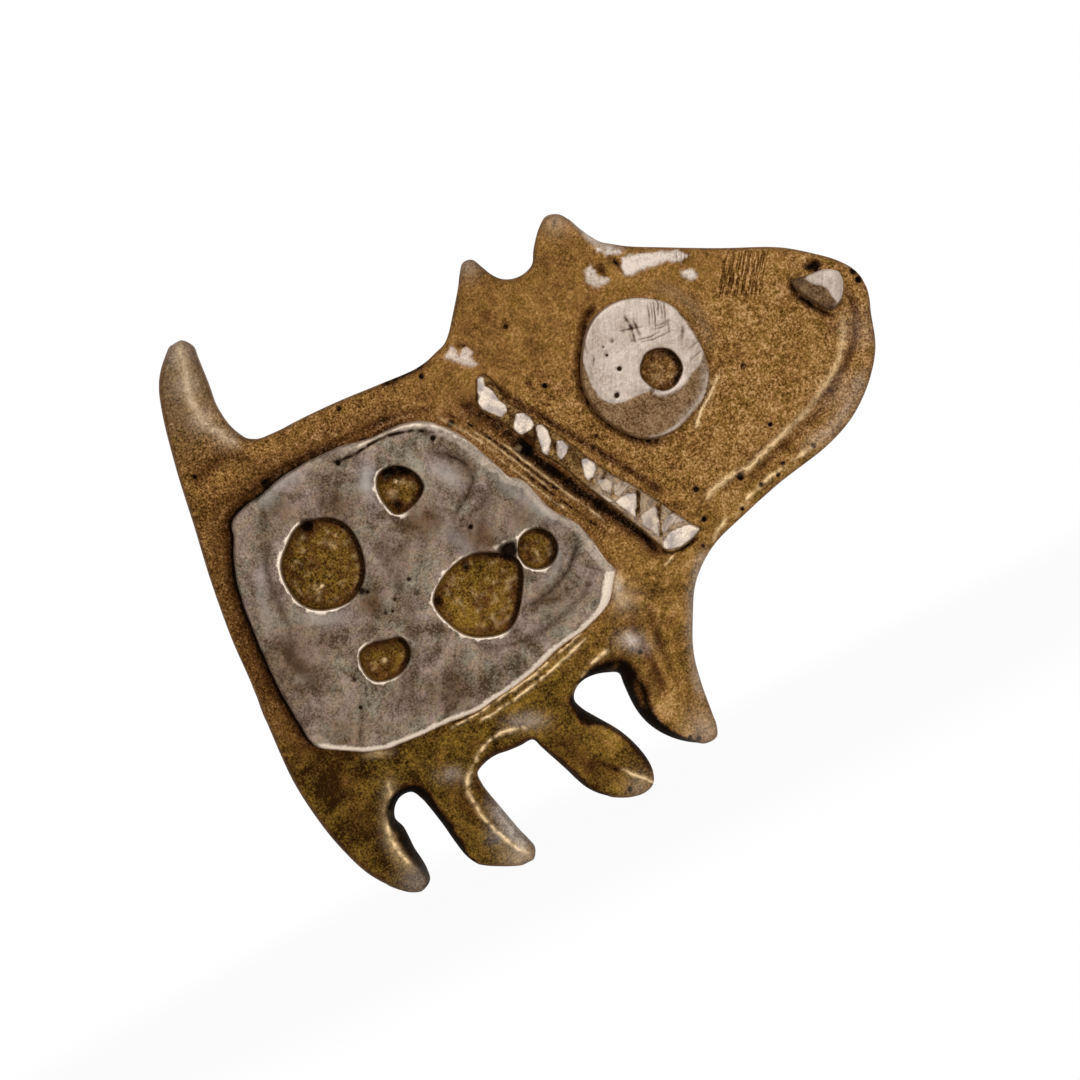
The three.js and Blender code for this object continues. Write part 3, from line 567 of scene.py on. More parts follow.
# The collar: bright teeth, greyer ones, and dark cuts between them.
TEETH = [
    Patch([(472.5, 374), (476.5, 371.5), (479, 375.5), (483.5, 378.5), (485, 386.5), (490, 389.5),
           (494.5, 394), (499, 400.5), (507, 406.5), (507, 411.5), (502, 417.5), (496, 416), (486.5, 411.5),
           (474, 408.5), (473.5, 405), (477.5, 400.5), (479, 396), (476.5, 389.5), (473.5, 388),
           (472.5, 382)], 0.16, 0.92),
    Patch([(516, 414.5), (524, 412.5), (530.5, 417.5), (534.5, 425.5), (530.5, 430.5), (522.5, 435),
           (516, 435), (513.5, 428.5), (514.5, 420.5)], 0.20, 0.95),
    Patch([(536, 425), (543, 425), (548, 431.5), (551, 441), (549.5, 450.5), (546, 460), (542.5, 457),
           (541, 447), (538, 438), (535.5, 430)], 0.20, 0.95),
    Patch([(556, 440.5), (563, 441), (568.5, 447), (566.5, 453.5), (561.5, 460), (558, 457), (556.5, 449)],
          0.18, 0.9),
    Patch([(580.5, 459.5), (588, 458), (594.5, 462.5), (596, 469), (593, 477), (588, 480.5), (584.5, 477),
           (583, 469)], 0.20, 0.95),
    Patch([(597, 481), (606.5, 478), (612.5, 484), (610, 494), (602, 489.5)], 0.10, 0.60),
    Patch([(614, 484.5), (626.5, 480.5), (630, 484), (619, 497), (614, 494)], 0.08, 0.55),
    Patch([(600, 492), (606, 497), (613, 501), (608, 503), (600, 497)], 0.08, 0.65),
    Patch([(615.5, 501.5), (626.5, 493.5), (636, 493), (637, 503), (635, 517), (626.5, 510.5), (618.5, 505)],
          0.16, 0.9),
    Patch([(640.5, 515.5), (647, 510.5), (655, 505.5), (658, 512.5), (659.5, 525), (659.5, 538),
           (651.5, 530.5), (642, 525)], 0.14, 0.68),
    Patch([(661, 528), (667, 515.5), (675, 512), (680, 515), (670.5, 526.5), (662.5, 534.5)], 0.10, 0.65),
    Patch([(680, 511), (690, 512), (692, 518), (684, 521), (673, 525)], 0.08, 0.60),
    Patch([(662.5, 543), (667, 534), (676.5, 528), (689, 524.5), (698, 526), (699.5, 531), (689, 540.5),
           (680, 547), (670, 549), (662.5, 549)], 0.20, 1.0),
]
COLLAR_CUTS = [
    Stroke([(481, 390), (478, 397), (473, 404)], 0.14, -0.20, 0.80),
    Stroke([(511, 410), (513, 418), (508, 427)], 0.20, -0.25, 0.75),
    Stroke([(534, 424), (536, 432), (533, 440)], 0.14, -0.20, 0.75),
    Stroke([(552, 436), (556, 448), (562, 460)], 0.16, -0.20, 0.65),
    Stroke([(570, 446), (574, 456), (580, 466)], 0.20, -0.18, 0.60),
    Stroke([(606, 470), (603, 479), (604, 492)], 0.10, -0.12, 0.50),
    Stroke([(630, 478), (622, 486), (613, 497)], 0.13, -0.18, 0.85),
    Stroke([(638, 486), (638, 500), (638, 516)], 0.13, -0.18, 0.85),
    Stroke([(657, 505), (658, 520), (660, 536)], 0.11, -0.16, 0.80),
    Stroke([(678, 508), (668, 520), (661, 534)], 0.10, -0.14, 0.75),
    Stroke([(664, 496), (660, 505), (659, 515)], 0.10, -0.12, 0.55),
]
# The part of the collar that is grey between its teeth.
COLLAR_GREY = Patch([(592, 462), (640, 476), (704, 518), (702, 548), (664, 556), (588, 496)], 0.0, 0.36)
COLLAR_SPOTS = [Spot((527, 444), 0.62, -0.6, 1.0)]

# Parts of the dog where the brass looks different: from where to where a share grows, ahead and upward, in
# millimetres.
HIND_FEET = {"ahead": (4, -8), "up": (-8.5, -14.5)}
TAIL = {"ahead": (-6, -12), "up": (8, 15)}
BROW_AND_NAPE = {"ahead": (-6, 0), "up": (1.5, 6)}
RUMP = {"ahead": (-12, -16), "up": (13, 8)}
MUZZLE = {"ahead": (8, 16)}
LEGS = {"up": (-6, -12)}
TIPS = {"up": (6.5, 10)}

# The stage: the camera's sensor in millimetres, the depth it aims at, and each lamp's side and its place from
# the aim, in metres to the right, up and to the front as the camera sees it.
SENSOR_WIDTH = 36.0
AIM_DEPTH = 0.75 * FACE
KEY_SIDE = 0.16
KEY_PLACE = 0.32 * np.array([0.80, -0.06, 0.60])
FILL_SIDE = 0.30
FILL_PLACE = 0.40 * np.array([-0.25, 0.35, 0.90])
# Linear colours of the stage: the white of the surround, and the floor's lit surface.
WHITE = (1.0, 1.0, 1.0)
FLOOR_GREY = (0.92, 0.92, 0.92)
# The floor's radius and its gap under the dog, the share of its lit surface that shows near the dog, and the
# distances over which that share fades out.
FLOOR_RADIUS = 400.0
FLOOR_GAP = 0.05
SHADOW_SHARE = 0.06
SHADOW_FADE = (45, 110)


def srgb(red, green, blue):
    """A colour from its 0 to 255 screen values, as the linear light that Blender's sockets take."""
    shares = np.array([red, green, blue]) / 255
    linear = np.where(shares <= 0.04045, shares / 12.92, ((shares + 0.055) / 1.055) ** 2.4)
    return tuple(float(value) for value in linear)


def opaque(colour):
    return (*colour, 1.0)


def on_dog(pixels):
    """Places on the dog, X and Z in millimetres, of pixels of the photograph: the step from the zero pixel is
    scaled to millimetres, with up positive, and turned back by the tilt."""
    step = (np.asarray(pixels, float).reshape(-1, 2) - ZERO_PIXEL) * (PIXEL, -PIXEL)
    turn = [[math.cos(TILT), -math.sin(TILT)], [math.sin(TILT), math.cos(TILT)]]
    return step @ np.array(turn)


def in_picture(directions):
    """Directions on the dog, X and Z, as right and up in the photograph."""
    turn = [[math.cos(TILT), math.sin(TILT)], [-math.sin(TILT), math.cos(TILT)]]
    return directions @ np.array(turn)


def distance_to(points, pixel):
    """How far each point lies from a pixel's place on the dog."""
    return np.linalg.norm(points - on_dog(pixel), axis=1)


def facing(outward, right, up):
    """How far normals on the dog point in a direction that is given as right and up in the photograph."""
    return in_picture(outward) @ np.array([right, up])


def share_facing(outward, right, up, level=0.5, gain=0.8):
    """How much normals face a direction in the photograph, eased from 0 to 1: the level is the share where
    they run across it, and the gain says how fast the share grows towards it."""
    return ease(level + gain * facing(outward, right, up))


def grown(pair, share):
    """The first value of a pair, with the second added in the given share."""
    return pair[0] + pair[1] * share


def ease(values):
    """A smooth step from 0 to 1 as its argument goes from 0 to 1, by three squares less two cubes."""
    share = np.clip(values, 0.0, 1.0)
    return share * share * (3 - 2 * share)


def bell(distance, half_width):
    return np.exp(-((distance / half_width) ** 2))


def near(points, path, closed=False):
    """The distance from each point to a line of straight pieces, and where along the line the nearest place
    is, counted in pieces. On each piece the foot of the perpendicular is kept between the ends, and the piece
    with the shortest gap wins. The points are taken in square tiles. A piece is left out of a tile where its
    nearest end lies further from the tile's middle than all of another piece, by more than the tile's
    diagonal."""
    starts = path if closed else path[:-1]
    runs = (np.roll(path, -1, axis=0) if closed else path[1:]) - starts
    squares = np.maximum((runs**2).sum(axis=1), TINY)
    halves = np.sqrt(squares) / 2
    middles = starts + runs / 2
    distance = np.empty(len(points))
    along = np.empty(len(points))
    tiles, tile_of = np.unique(np.floor(points / TILE), axis=0, return_inverse=True)
    order = np.argsort(tile_of.reshape(-1), kind="stable")
    firsts = np.searchsorted(tile_of.reshape(-1)[order], np.arange(len(tiles) + 1))
    for tile, first, last in zip(tiles, firsts, firsts[1:]):
        rows = order[first:last]
        away = np.hypot(*(middles - (tile + 0.5) * TILE).T)
        pieces = np.flatnonzero(away - halves <= (away + halves).min() + math.sqrt(2) * TILE)
        x = points[rows, 0][:, None] - starts[pieces, 0]
        z = points[rows, 1][:, None] - starts[pieces, 1]
        run_x, run_z = runs[pieces].T
        share = np.clip((x * run_x + z * run_z) / squares[pieces], 0, 1)
        gaps = (x - share * run_x) ** 2 + (z - share * run_z) ** 2
        best = gaps.argmin(axis=1)
        chosen = np.arange(len(rows)), best
        distance[rows] = np.sqrt(gaps[chosen])
        along[rows] = pieces[best] + share[chosen]
    return distance, along


def in_box(points, line, reach):
    """True for the points less than the reach outside the box around a line."""
    return ((points > line.min(axis=0) - reach) & (points < line.max(axis=0) + reach)).all(axis=1)


def edge_of(points, loop):
    """How deep each point lies in a closed loop, negative outside, and the loop's outward normal at the
    nearest place. The side is that of the normal, which runs smoothly from corner to corner. Points further
    than the reach from the loop's box count as outside by the reach, or inside for a clockwise loop."""
    depth = np.full(len(points), -LOOP_REACH if signed_area(loop) > 0 else LOOP_REACH)
    outward = np.zeros((len(points), 2))
    close = np.flatnonzero(in_box(points, loop, LOOP_REACH))
    distance, along = near(points[close], loop, closed=True)
    index = np.minimum(along.astype(int), len(loop) - 1)
    share = (along - index)[:, None]
    after = (index + 1) % len(loop)
    foot = loop[index] + share * (loop[after] - loop[index])
    normals = normals_of(loop)
    normal = (1 - share) * normals[index] + share * normals[after]
    beyond = ((points[close] - foot) * normal).sum(axis=1) > 0
    depth[close] = np.where(beyond, -distance, distance)
    outward[close] = normal
    return depth, outward


def depth_inside(points, loop):
    return edge_of(points, loop)[0]


def inside(points, loop, soft, ragged=0.0):
    """The share of each point that lies in a loop, over an edge of the soft width that may be ragged."""
    return ease(0.5 + (depth_inside(points, loop) + ragged) / soft)


def room(points, loops):
    """How deep each point lies in a plate with holes: the loops of the holes run clockwise."""
    return np.minimum.reduce([depth_inside(points, loop) for loop in loops])


def signed_area(loop):
    after = np.roll(loop, -1, axis=0)
    return 0.5 * float((loop[:, 0] * after[:, 1] - after[:, 0] * loop[:, 1]).sum())


def anticlockwise(loop):
    return loop if signed_area(loop) > 0 else loop[::-1]


def spline(points, per_piece, closed=False, corner_cos=-2.0):
    """A smooth curve through points, by Catmull-Rom pieces: each piece is the cubic whose slope at an end is
    half the step between that end's neighbours. At a corner, where the cosine of the turn is under
    corner_cos, the neighbour across it is replaced by the mirrored one, so that the corner stays."""
    if not closed:
        points = np.vstack([2 * points[0] - points[1], points, 2 * points[-1] - points[-2]])
    before = np.roll(points, 1, axis=0)
    after = np.roll(points, -1, axis=0)
    second = np.roll(points, -2, axis=0)
    run_in = points - before
    run_out = after - points
    lengths = np.linalg.norm(run_in, axis=1) * np.linalg.norm(run_out, axis=1)
    corner = ((run_in * run_out).sum(axis=1) / np.maximum(lengths, TINY) < corner_cos)[:, None]
    before = np.where(corner, 2 * points - after, before)
    second = np.where(np.roll(corner, -1, axis=0), 2 * after - points, second)
    t = (np.arange(per_piece) / per_piece)[None, :, None]
    p0, p1, p2, p3 = (p[:, None, :] for p in (before, points, after, second))
    curve = 0.5 * (2 * p1 + (p2 - p0) * t + (2 * p0 - 5 * p1 + 4 * p2 - p3) * t**2
                   + (3 * p1 - p0 - 3 * p2 + p3) * t**3)
    if closed:
        return curve.reshape(-1, 2)
    return np.vstack([curve[1:-2].reshape(-1, 2), points[-2]])


def normals_of(loop):
    """Outward unit normals of a loop that runs anticlockwise: between those of the two runs that meet."""
    run = np.roll(loop, -1, axis=0) - loop
    run = run / np.maximum(np.linalg.norm(run, axis=1), TINY)[:, None]
    run = run + np.roll(run, 1, axis=0)
    run = run / np.maximum(np.linalg.norm(run, axis=1), TINY)[:, None]
    return np.column_stack([run[:, 1], -run[:, 0]])


def value_noise(points, size, seed):
    """Smooth random values between -1 and 1: a seeded number at each corner of a square lattice of the given
    size, blended across each square with the smooth step."""
    side = 64
    lattice = np.random.default_rng(seed).uniform(-1, 1, (side, side))
    scaled = points / size
    cell = np.floor(scaled).astype(int)
    x, z = ease(scaled - cell).T
    i, j = cell.T % side
    i1, j1 = (i + 1) % side, (j + 1) % side
    low = lattice[i, j] * (1 - x) + lattice[i1, j] * x
    high = lattice[i, j1] * (1 - x) + lattice[i1, j1] * x
    return low * (1 - z) + high * z


def rough(points, size, seed):
    """Two octaves of smooth noise."""
    return (value_noise(points, size, seed) + 0.5 * value_noise(points, size / 2.1, seed + 1)) / 1.5


def flat_loops(node, depth):
    """The closed loops around a solid's flat face that lies depth millimetres before the back, each in order
    and anticlockwise, the longest first: the edges that only one triangle of the flat face has, chained."""
    mesh = frame["nodes"][node].data
    places = np.empty(len(mesh.vertices) * 3)
    mesh.vertices.foreach_get("co", places)
    corners = np.empty(len(mesh.loops), np.int32)
    mesh.loops.foreach_get("vertex_index", corners)
    places, merged = np.unique(np.round(places.reshape(-1, 3) / MM, 3), axis=0, return_inverse=True)
    triangles = merged.reshape(-1)[corners].reshape(-1, 3)
    flat = np.abs(places[triangles][:, :, 1] + depth).max(axis=1) < FLATNESS
    edges = np.vstack([triangles[flat][:, [a, b]] for a, b in ((0, 1), (1, 2), (2, 0))])
    known = {tuple(edge) for edge in edges.tolist()}
    following = {a: b for a, b in known if (b, a) not in known}
    loops = []
    while following:
        start, at = following.popitem()
        loop = [start]
        while at != start:
            loop.append(at)
            at = following.pop(at)
        loops.append(places[loop][:, [0, 2]])
    loops.sort(key=len, reverse=True)
    return [anticlockwise(loop) for loop in loops]


def smooth_loop(loop, per_piece, corner_cos=0.6):
    """A solid's loop made smooth, with its corners kept, and held inside the box of the loop itself."""
    curve = spline(loop, per_piece, closed=True, corner_cos=corner_cos)
    return np.clip(curve, loop.min(axis=0), loop.max(axis=0))


def uneven(loop, amount, size, seed):
    """A loop moved in and out a little along its normals, as a hand-filed edge is."""
    return loop + normals_of(loop) * (amount * rough(loop, size, seed))[:, None]


# The outlines of the solids made smooth, two of them uneven as if filed by hand.
OUTLINE = smooth_loop(flat_loops("dog_casting", BACK)[0], 6, corner_cos=0.1)
SADDLE, *WINDOWS = [smooth_loop(loop, 6) for loop in flat_loops("saddle_plate", SEAT)]
SADDLE = uneven(SADDLE, amount=0.05, size=0.9, seed=11)
EYE, PUPIL = [smooth_loop(loop, 6) for loop in flat_loops("eye_disc", SEAT)]
PUPIL = uneven(PUPIL, amount=0.10, size=1.1, seed=15)
NOSE = smooth_loop(flat_loops("nose_tip", SEAT)[0], 6)
COLLAR = smooth_loop(flat_loops("collar_band", SEAT)[0], 5)
OVERLAYS = (SADDLE, EYE, NOSE, COLLAR)


def drawn(path):
    """The smooth line through a path of pixels, on the dog."""
    return spline(on_dog(path), LINE_STEPS)


def felt(points, path, half_width):
    """How strongly a drawn line is felt at each point: a bell curve of the distance to the smoothed line,
    which wavers a little, drops to a third over the last stretch before each end, and comes and goes on the
    way, most on thin lines."""
    line = drawn(path)
    length = np.linalg.norm(np.diff(line, axis=0), axis=1).sum()
    strength = np.zeros(len(points))
    close = in_box(points, line, 3 * half_width)
    waver = [value_noise(points[close], BEND_SIZE, seed) for seed in (96, 97)]
    waver = min(BEND_REACH, 0.5 * half_width) * np.column_stack(waver)
    distance, along = near(points[close] + waver, line)
    along = along / (len(line) - 1)
    ends = np.clip(np.minimum(along, 1 - along) * length / END_FADE, 0, 1)
    gaps = 1.0 if BROKEN_FROM < half_width < BROKEN_TO else 0.25
    broken = np.clip(0.95 + gaps * value_noise(points[close], GAP_SIZE, 93), 0.05, 1.4)
    strength[close] = bell(distance, half_width) * (0.35 + 0.65 * ends) * broken
    return strength


class Relief:
    """Height and finish over a set of places: how high the metal stands, how dark it is with patina and painted
    shade, how worn it is with painted highlights on top, and how bright it is where it is worn through and where
    sheens are painted."""

    def __init__(self, points, height):
        self.points = points
        self.height = np.full(len(points), float(height))
        self.dark = np.zeros(len(points))
        self.shine = np.zeros(len(points))
        self.bare = np.zeros(len(points))

    def add(self, strength, mark, scope=1.0):
        """Adds a mark's rise, and moves the dark and shine shares towards 1 by its own shares."""
        strength = strength * scope
        self.height += mark.rise * strength
        self.dark += (1 - self.dark) * np.clip(mark.dark * strength, 0, 1)
        self.shine += (1 - self.shine) * np.clip(mark.shine * strength, 0, 1)

    def bare_to(self, share):
        """Makes the metal at least as bright as the share says, for worn places and for painted sheens and
        highlights.
        """
        self.bare = np.maximum(self.bare, share)

    def darken_to(self, share):
        """Makes the metal at least as dark as the share says."""
        self.dark = np.maximum(self.dark, share)

    def move_to(self, quality, values, share, places=slice(None)):
        """Moves the height or another quality by a share of the way to the values."""
        own = getattr(self, quality)
        own[places] += (values - own[places]) * share

    def dull(self, share=1.0):
        """Takes the brightness of worn places and painted sheens off where the metal is dark."""
        self.bare = np.clip(self.bare - share * self.dark, 0, 1)

    def round_rim(self, depth, width, foot, limit=None):
        """Rounds the metal down to the foot over the width inside an edge. It stays under the limit, or else
        under what it was."""
        rounded = round_over(depth, width, self.height, foot)
        self.height = np.minimum(rounded, self.height if limit is None else limit)

    def strokes(self, strokes, scope=1.0):
        for stroke in strokes:
            self.add(felt(self.points, stroke.path, stroke.half_width), stroke, scope)

    def spots(self, spots, scope=1.0):
        """A spot's strength falls off as a bell curve of a high power, so that a pit has a flat floor. Its
        outline isn't quite round."""
        wander = 1 + SPOT_WANDER * value_noise(self.points, BAY_SIZE, 95)
        for spot in spots:
            distance = distance_to(self.points, spot.place) * wander
            power = 8 if spot.radius < FLATTEST_SPOT else 4
            self.add(np.exp(-((distance / spot.radius) ** power)), spot, scope)

    def patches(self, patches, soft=0.08, rag=0.0):
        """A patch rises and is bare inside its outline, over a soft edge that may be ragged."""
        ragged = rag * rough(self.points, size=0.30, seed=91)
        for patch in patches:
            loop = anticlockwise(on_dog(patch.outline))
            share = inside(self.points, loop, 2 * soft, ragged)
            self.height += patch.rise * share
            self.bare_to(patch.bright * share)
            self.dark *= 1 - 0.8 * share


def round_over(depth, width, top, foot):
    """A rounded rim: a quarter of an ellipse from the foot's height at the edge to the top's height at the
    given width inside it."""
    share = np.clip(depth / width, 0, 1)
    return foot + (top - foot) * np.sqrt(np.maximum(1 - (1 - share) ** 2, 0))


# The casting's face: how high its waves are, and how deep and how wide it falls off towards the outline. The
# dark line along the outline.
CASTING_WAVES = 0.05
EDGE_FALL = 0.14
EDGE_FALL_WIDTH = 1.6
EDGE_DARK = 0.35
EDGE_DARK_WIDTH = 0.16
# The moat round the saddle: how far off its middle runs, and its width, depth and darkness, each with what is
# added where it faces left; that darkness is painted shade. Beside the saddle there, a dark crevice and a soft
# strip that fades out, both painted shade.
MOAT_OFFSET = 0.15
MOAT_WIDTH = (0.26, 0.14)
MOAT_DEPTH = (0.06, 0.34)
MOAT_DARK = (0.10, 0.22)
CREVICE_DARK = 0.55
CREVICE_WIDTH = 0.20
STRIP_DARK = 0.32
STRIP_WIDTH = 1.2
STRIP_FADE = 0.9
# The sloping edges: how many points a smoothed path has for each of its pieces, how uneven the width of an
# edge is, how far beyond it the edge reaches, and over what width it fades into the rest.
SLOPE_STEPS = 4
SLOPE_UNEVEN = 0.22
SLOPE_REACH = 0.6
SLOPE_FADE = 0.5


def casting_relief(points):
    """The dog's face side. The top is a nearly flat face, a little lower near the outline and gently uneven, with
    a rounded rim that is wider at the sloping walls, where it is painted dark as shade. A soft moat runs round the
    saddle, deeper, and darker with painted shade, where it faces the picture's left. Drawn lines, spots, bright
    worn patches and painted sheens are added to that. Under each overlay the surface drops to its seat, and in the
    windows it is their floor."""
    relief = Relief(points, FACE - CASTING_MARGIN)
    edge = depth_inside(points, OUTLINE)
    relief.height += CASTING_WAVES * rough(points, size=3.2, seed=1) - EDGE_FALL * bell(edge, EDGE_FALL_WIDTH)

    saddle_depth, outward = edge_of(points, SADDLE)
    # Painted shade: the moat, the crevice and the strip darken where the saddle's edge faces the picture's left.
    left = share_facing(outward, -1.0, 0.05, level=0.15, gain=0.90)
    outside = np.maximum(-saddle_depth, 0)
    moat = bell(outside - MOAT_OFFSET, grown(MOAT_WIDTH, left))
    relief.height -= grown(MOAT_DEPTH, left) * moat
    crevice = CREVICE_DARK * left * bell(outside, CREVICE_WIDTH)
    strip = STRIP_DARK * left * (1 - ease((outside - STRIP_WIDTH) / STRIP_FADE))
    relief.dark = np.clip(grown(MOAT_DARK, left) * moat + crevice + strip, 0, 1)

    relief.strokes(CASTING_STROKES)
    relief.spots(CASTING_SPOTS)
    relief.patches(BARE_PATCHES, soft=0.13, rag=0.12)
    relief.strokes(BROW_CREASES)
    relief.dull()
    # Painted sheens, and the greyed worn places at the tips.
    for stroke in SHEENS:
        relief.bare_to(stroke.shine * felt(points, stroke.path, stroke.half_width))
    for spot in WORN:
        relief.bare_to(spot.shine * bell(distance_to(points, spot.place), spot.radius))

    # The sloping walls get a wider rim and a painted shade.
    width = np.full(len(points), CASTING_RIM)
    foot = np.full(len(points), CASTING_RIM_FOOT)
    shade = np.zeros(len(points))
    uneven_width = 1 + SLOPE_UNEVEN * rough(points, size=0.6, seed=7)
    for slope in SLOPES:
        path = np.array(slope.path)
        distance, along = near(points, spline(on_dog(path[:, :2]), SLOPE_STEPS))
        here = np.interp(along / SLOPE_STEPS, np.arange(len(path)), path[:, 2]) * uneven_width
        share = ease((here + SLOPE_REACH - distance) / SLOPE_FADE)
        width += (here - width) * share
        foot += (slope.foot - foot) * share
        shade = np.maximum(shade, slope.dark * share)
    relief.round_rim(edge, width, foot)
    on_rim = 1 - ease((edge / width - 0.60) / 0.55)
    relief.darken_to(shade * on_rim)
    relief.darken_to(EDGE_DARK * bell(edge, EDGE_DARK_WIDTH))
    relief.shine *= 1 - shade * on_rim
    # Painted glints that lighten the painted shade of the gap walls.
    for glint in GAP_GLINTS:
        relief.dark *= 1 - 0.55 * felt(points, glint, 0.20).clip(0, 1)

    for overlay in OVERLAYS:
        depth = saddle_depth if overlay is SADDLE else depth_inside(points, overlay)
        relief.move_to("height", SEAT - SEAT_GAP, ease(depth / STEP_WIDTH))
        relief.darken_to(0.9 * ease((depth - 0.02) / 0.05))
    window_floors(relief)
    return relief


def filed_at(points):
    """How strongly the forehead is filed: 1 in the middle of a soft-edged slanted box, 0 outside it."""
    low, high = np.array(FILE_MARKS_FROM), np.array(FILE_MARKS_TO)
    across, upward = (in_picture(points - on_dog((low + high) / 2)) / PIXEL).T
    half = (high - low) / 2
    side = ease((1.2 - np.abs(across - 0.18 * upward) / half[0]) / 0.4)
    return side * ease((1.2 - np.abs(upward) / half[1]) / 0.4)


# The floors in the windows: how high their waves are, and the width and darkness of their walls, each with what is
# added where they face left; the darkness is painted shade. The dark ring on them runs at a distance from the
# edge, with a width and a darkness that comes and goes. Blotches and golden glints, the glints painted highlights,
# have their own strength.
FLOOR_WAVES = 0.10
WALL_WIDTH = (0.20, 0.34)
WALL_DARK = (0.10, 0.75)
RING_OFFSET = 0.40
RING_WIDTH = 0.28
RING_DARK = (0.20, 0.30)
BLOTCH_DARK = 0.60
GLINT_SHINE = 0.45


def window_floors(relief):
    """The brass floors seen through the saddle's windows and the pupil: each rises from an uneven floor to its
    edge along a quarter of an ellipse, and that wall is painted dark as shade where it faces the picture's left.
    Dark blotches, a broken ring near the edge and a few golden glints lie on it; the pupil also gets a painted
    shade at its right."""
    for window in (*WINDOWS, PUPIL):
        close = (np.abs(relief.points - window.mean(axis=0)) < np.ptp(window, axis=0)).all(axis=1)
        points = relief.points[close]
        depth, outward = edge_of(points, window)
        to_right = share_facing(outward, 0.90, 0.42, level=0.45, gain=0.75)
        wall = grown(WALL_WIDTH, to_right)
        foot, bottom = (PUPIL_FOOT, PUPIL_FLOOR) if window is PUPIL else (WINDOW_FOOT, WINDOW_FLOOR)
        floor = bottom + FLOOR_WAVES * rough(points, size=0.55, seed=21)
        within = ease(depth / STEP_WIDTH)
        relief.move_to("height", round_over(depth, wall, floor, foot), within, close)
        # Painted shade on the walls that face the picture's left.
        shade = grown(WALL_DARK, to_right) * (1 - ease((np.clip(depth / wall, 0, 1) - 0.50) / 0.6))
        blotch = np.maximum(rough(points, size=0.50, seed=23), 0)
        ring = grown(RING_DARK, rough(points, size=0.7, seed=25)) * bell(depth - RING_OFFSET, RING_WIDTH)
        dark = np.clip(np.maximum(shade, BLOTCH_DARK * blotch + ring), 0, 1)
        relief.move_to("dark", dark, within, close)
        relief.move_to("bare", 0, within, close)
        glint = np.clip(rough(points, size=0.40, seed=27) - 0.15, 0, 1)
        relief.move_to("shine", GLINT_SHINE * glint * ease((depth - 0.25) / 0.3), within, close)
    relief.spots(FLOOR_SPOTS, in_windows(relief.points))
    lobes = Relief(relief.points, 0)
    lobes.strokes([Stroke(PUPIL_SHADE, 0.22, 0, 1.0)], inside(relief.points, PUPIL, 0.1))
    relief.darken_to(lobes.dark)


def in_windows(points):
    return np.clip(sum(inside(points, window, 0.1) for window in WINDOWS), 0, 1)


# The saddle: the heights of its long and short waves, how much wider its lip, which carries a painted highlight,
# is at the lower right and at its corner, and how high and how wide the ridge beside the lip is. The height of its
# other ridges.
SADDLE_WAVES = 0.035
SADDLE_RIPPLES = 0.012
LIP_WIDER = 0.14
LIP_CORNER = 0.40
LIP_CORNER_RADIUS = 1.9
LIP_RISE = 0.07
LIP_RISE_OFFSET = 0.1
LIP_RISE_WIDTH = 0.22
SEAM_RISE = 0.07
HOOK_RISE = 0.06
# The lips at the windows: how high they are, where and how wide, and the width of their bright part, a painted
# highlight on the side that faces the picture's right.
WINDOW_LIP_RISE = 0.05
WINDOW_LIP_OFFSET = 0.12
WINDOW_LIP_WIDTH = 0.20
WINDOW_LIP_BRIGHT = (0.17, 0.16)
# How much wider the rounded rim is at the lower right. How far its foot lies under the casting's face, and
# how much is added to that at the upper left.
RIM_WIDER = 0.15
SADDLE_FOOT_DROP = (0.02, 0.30)


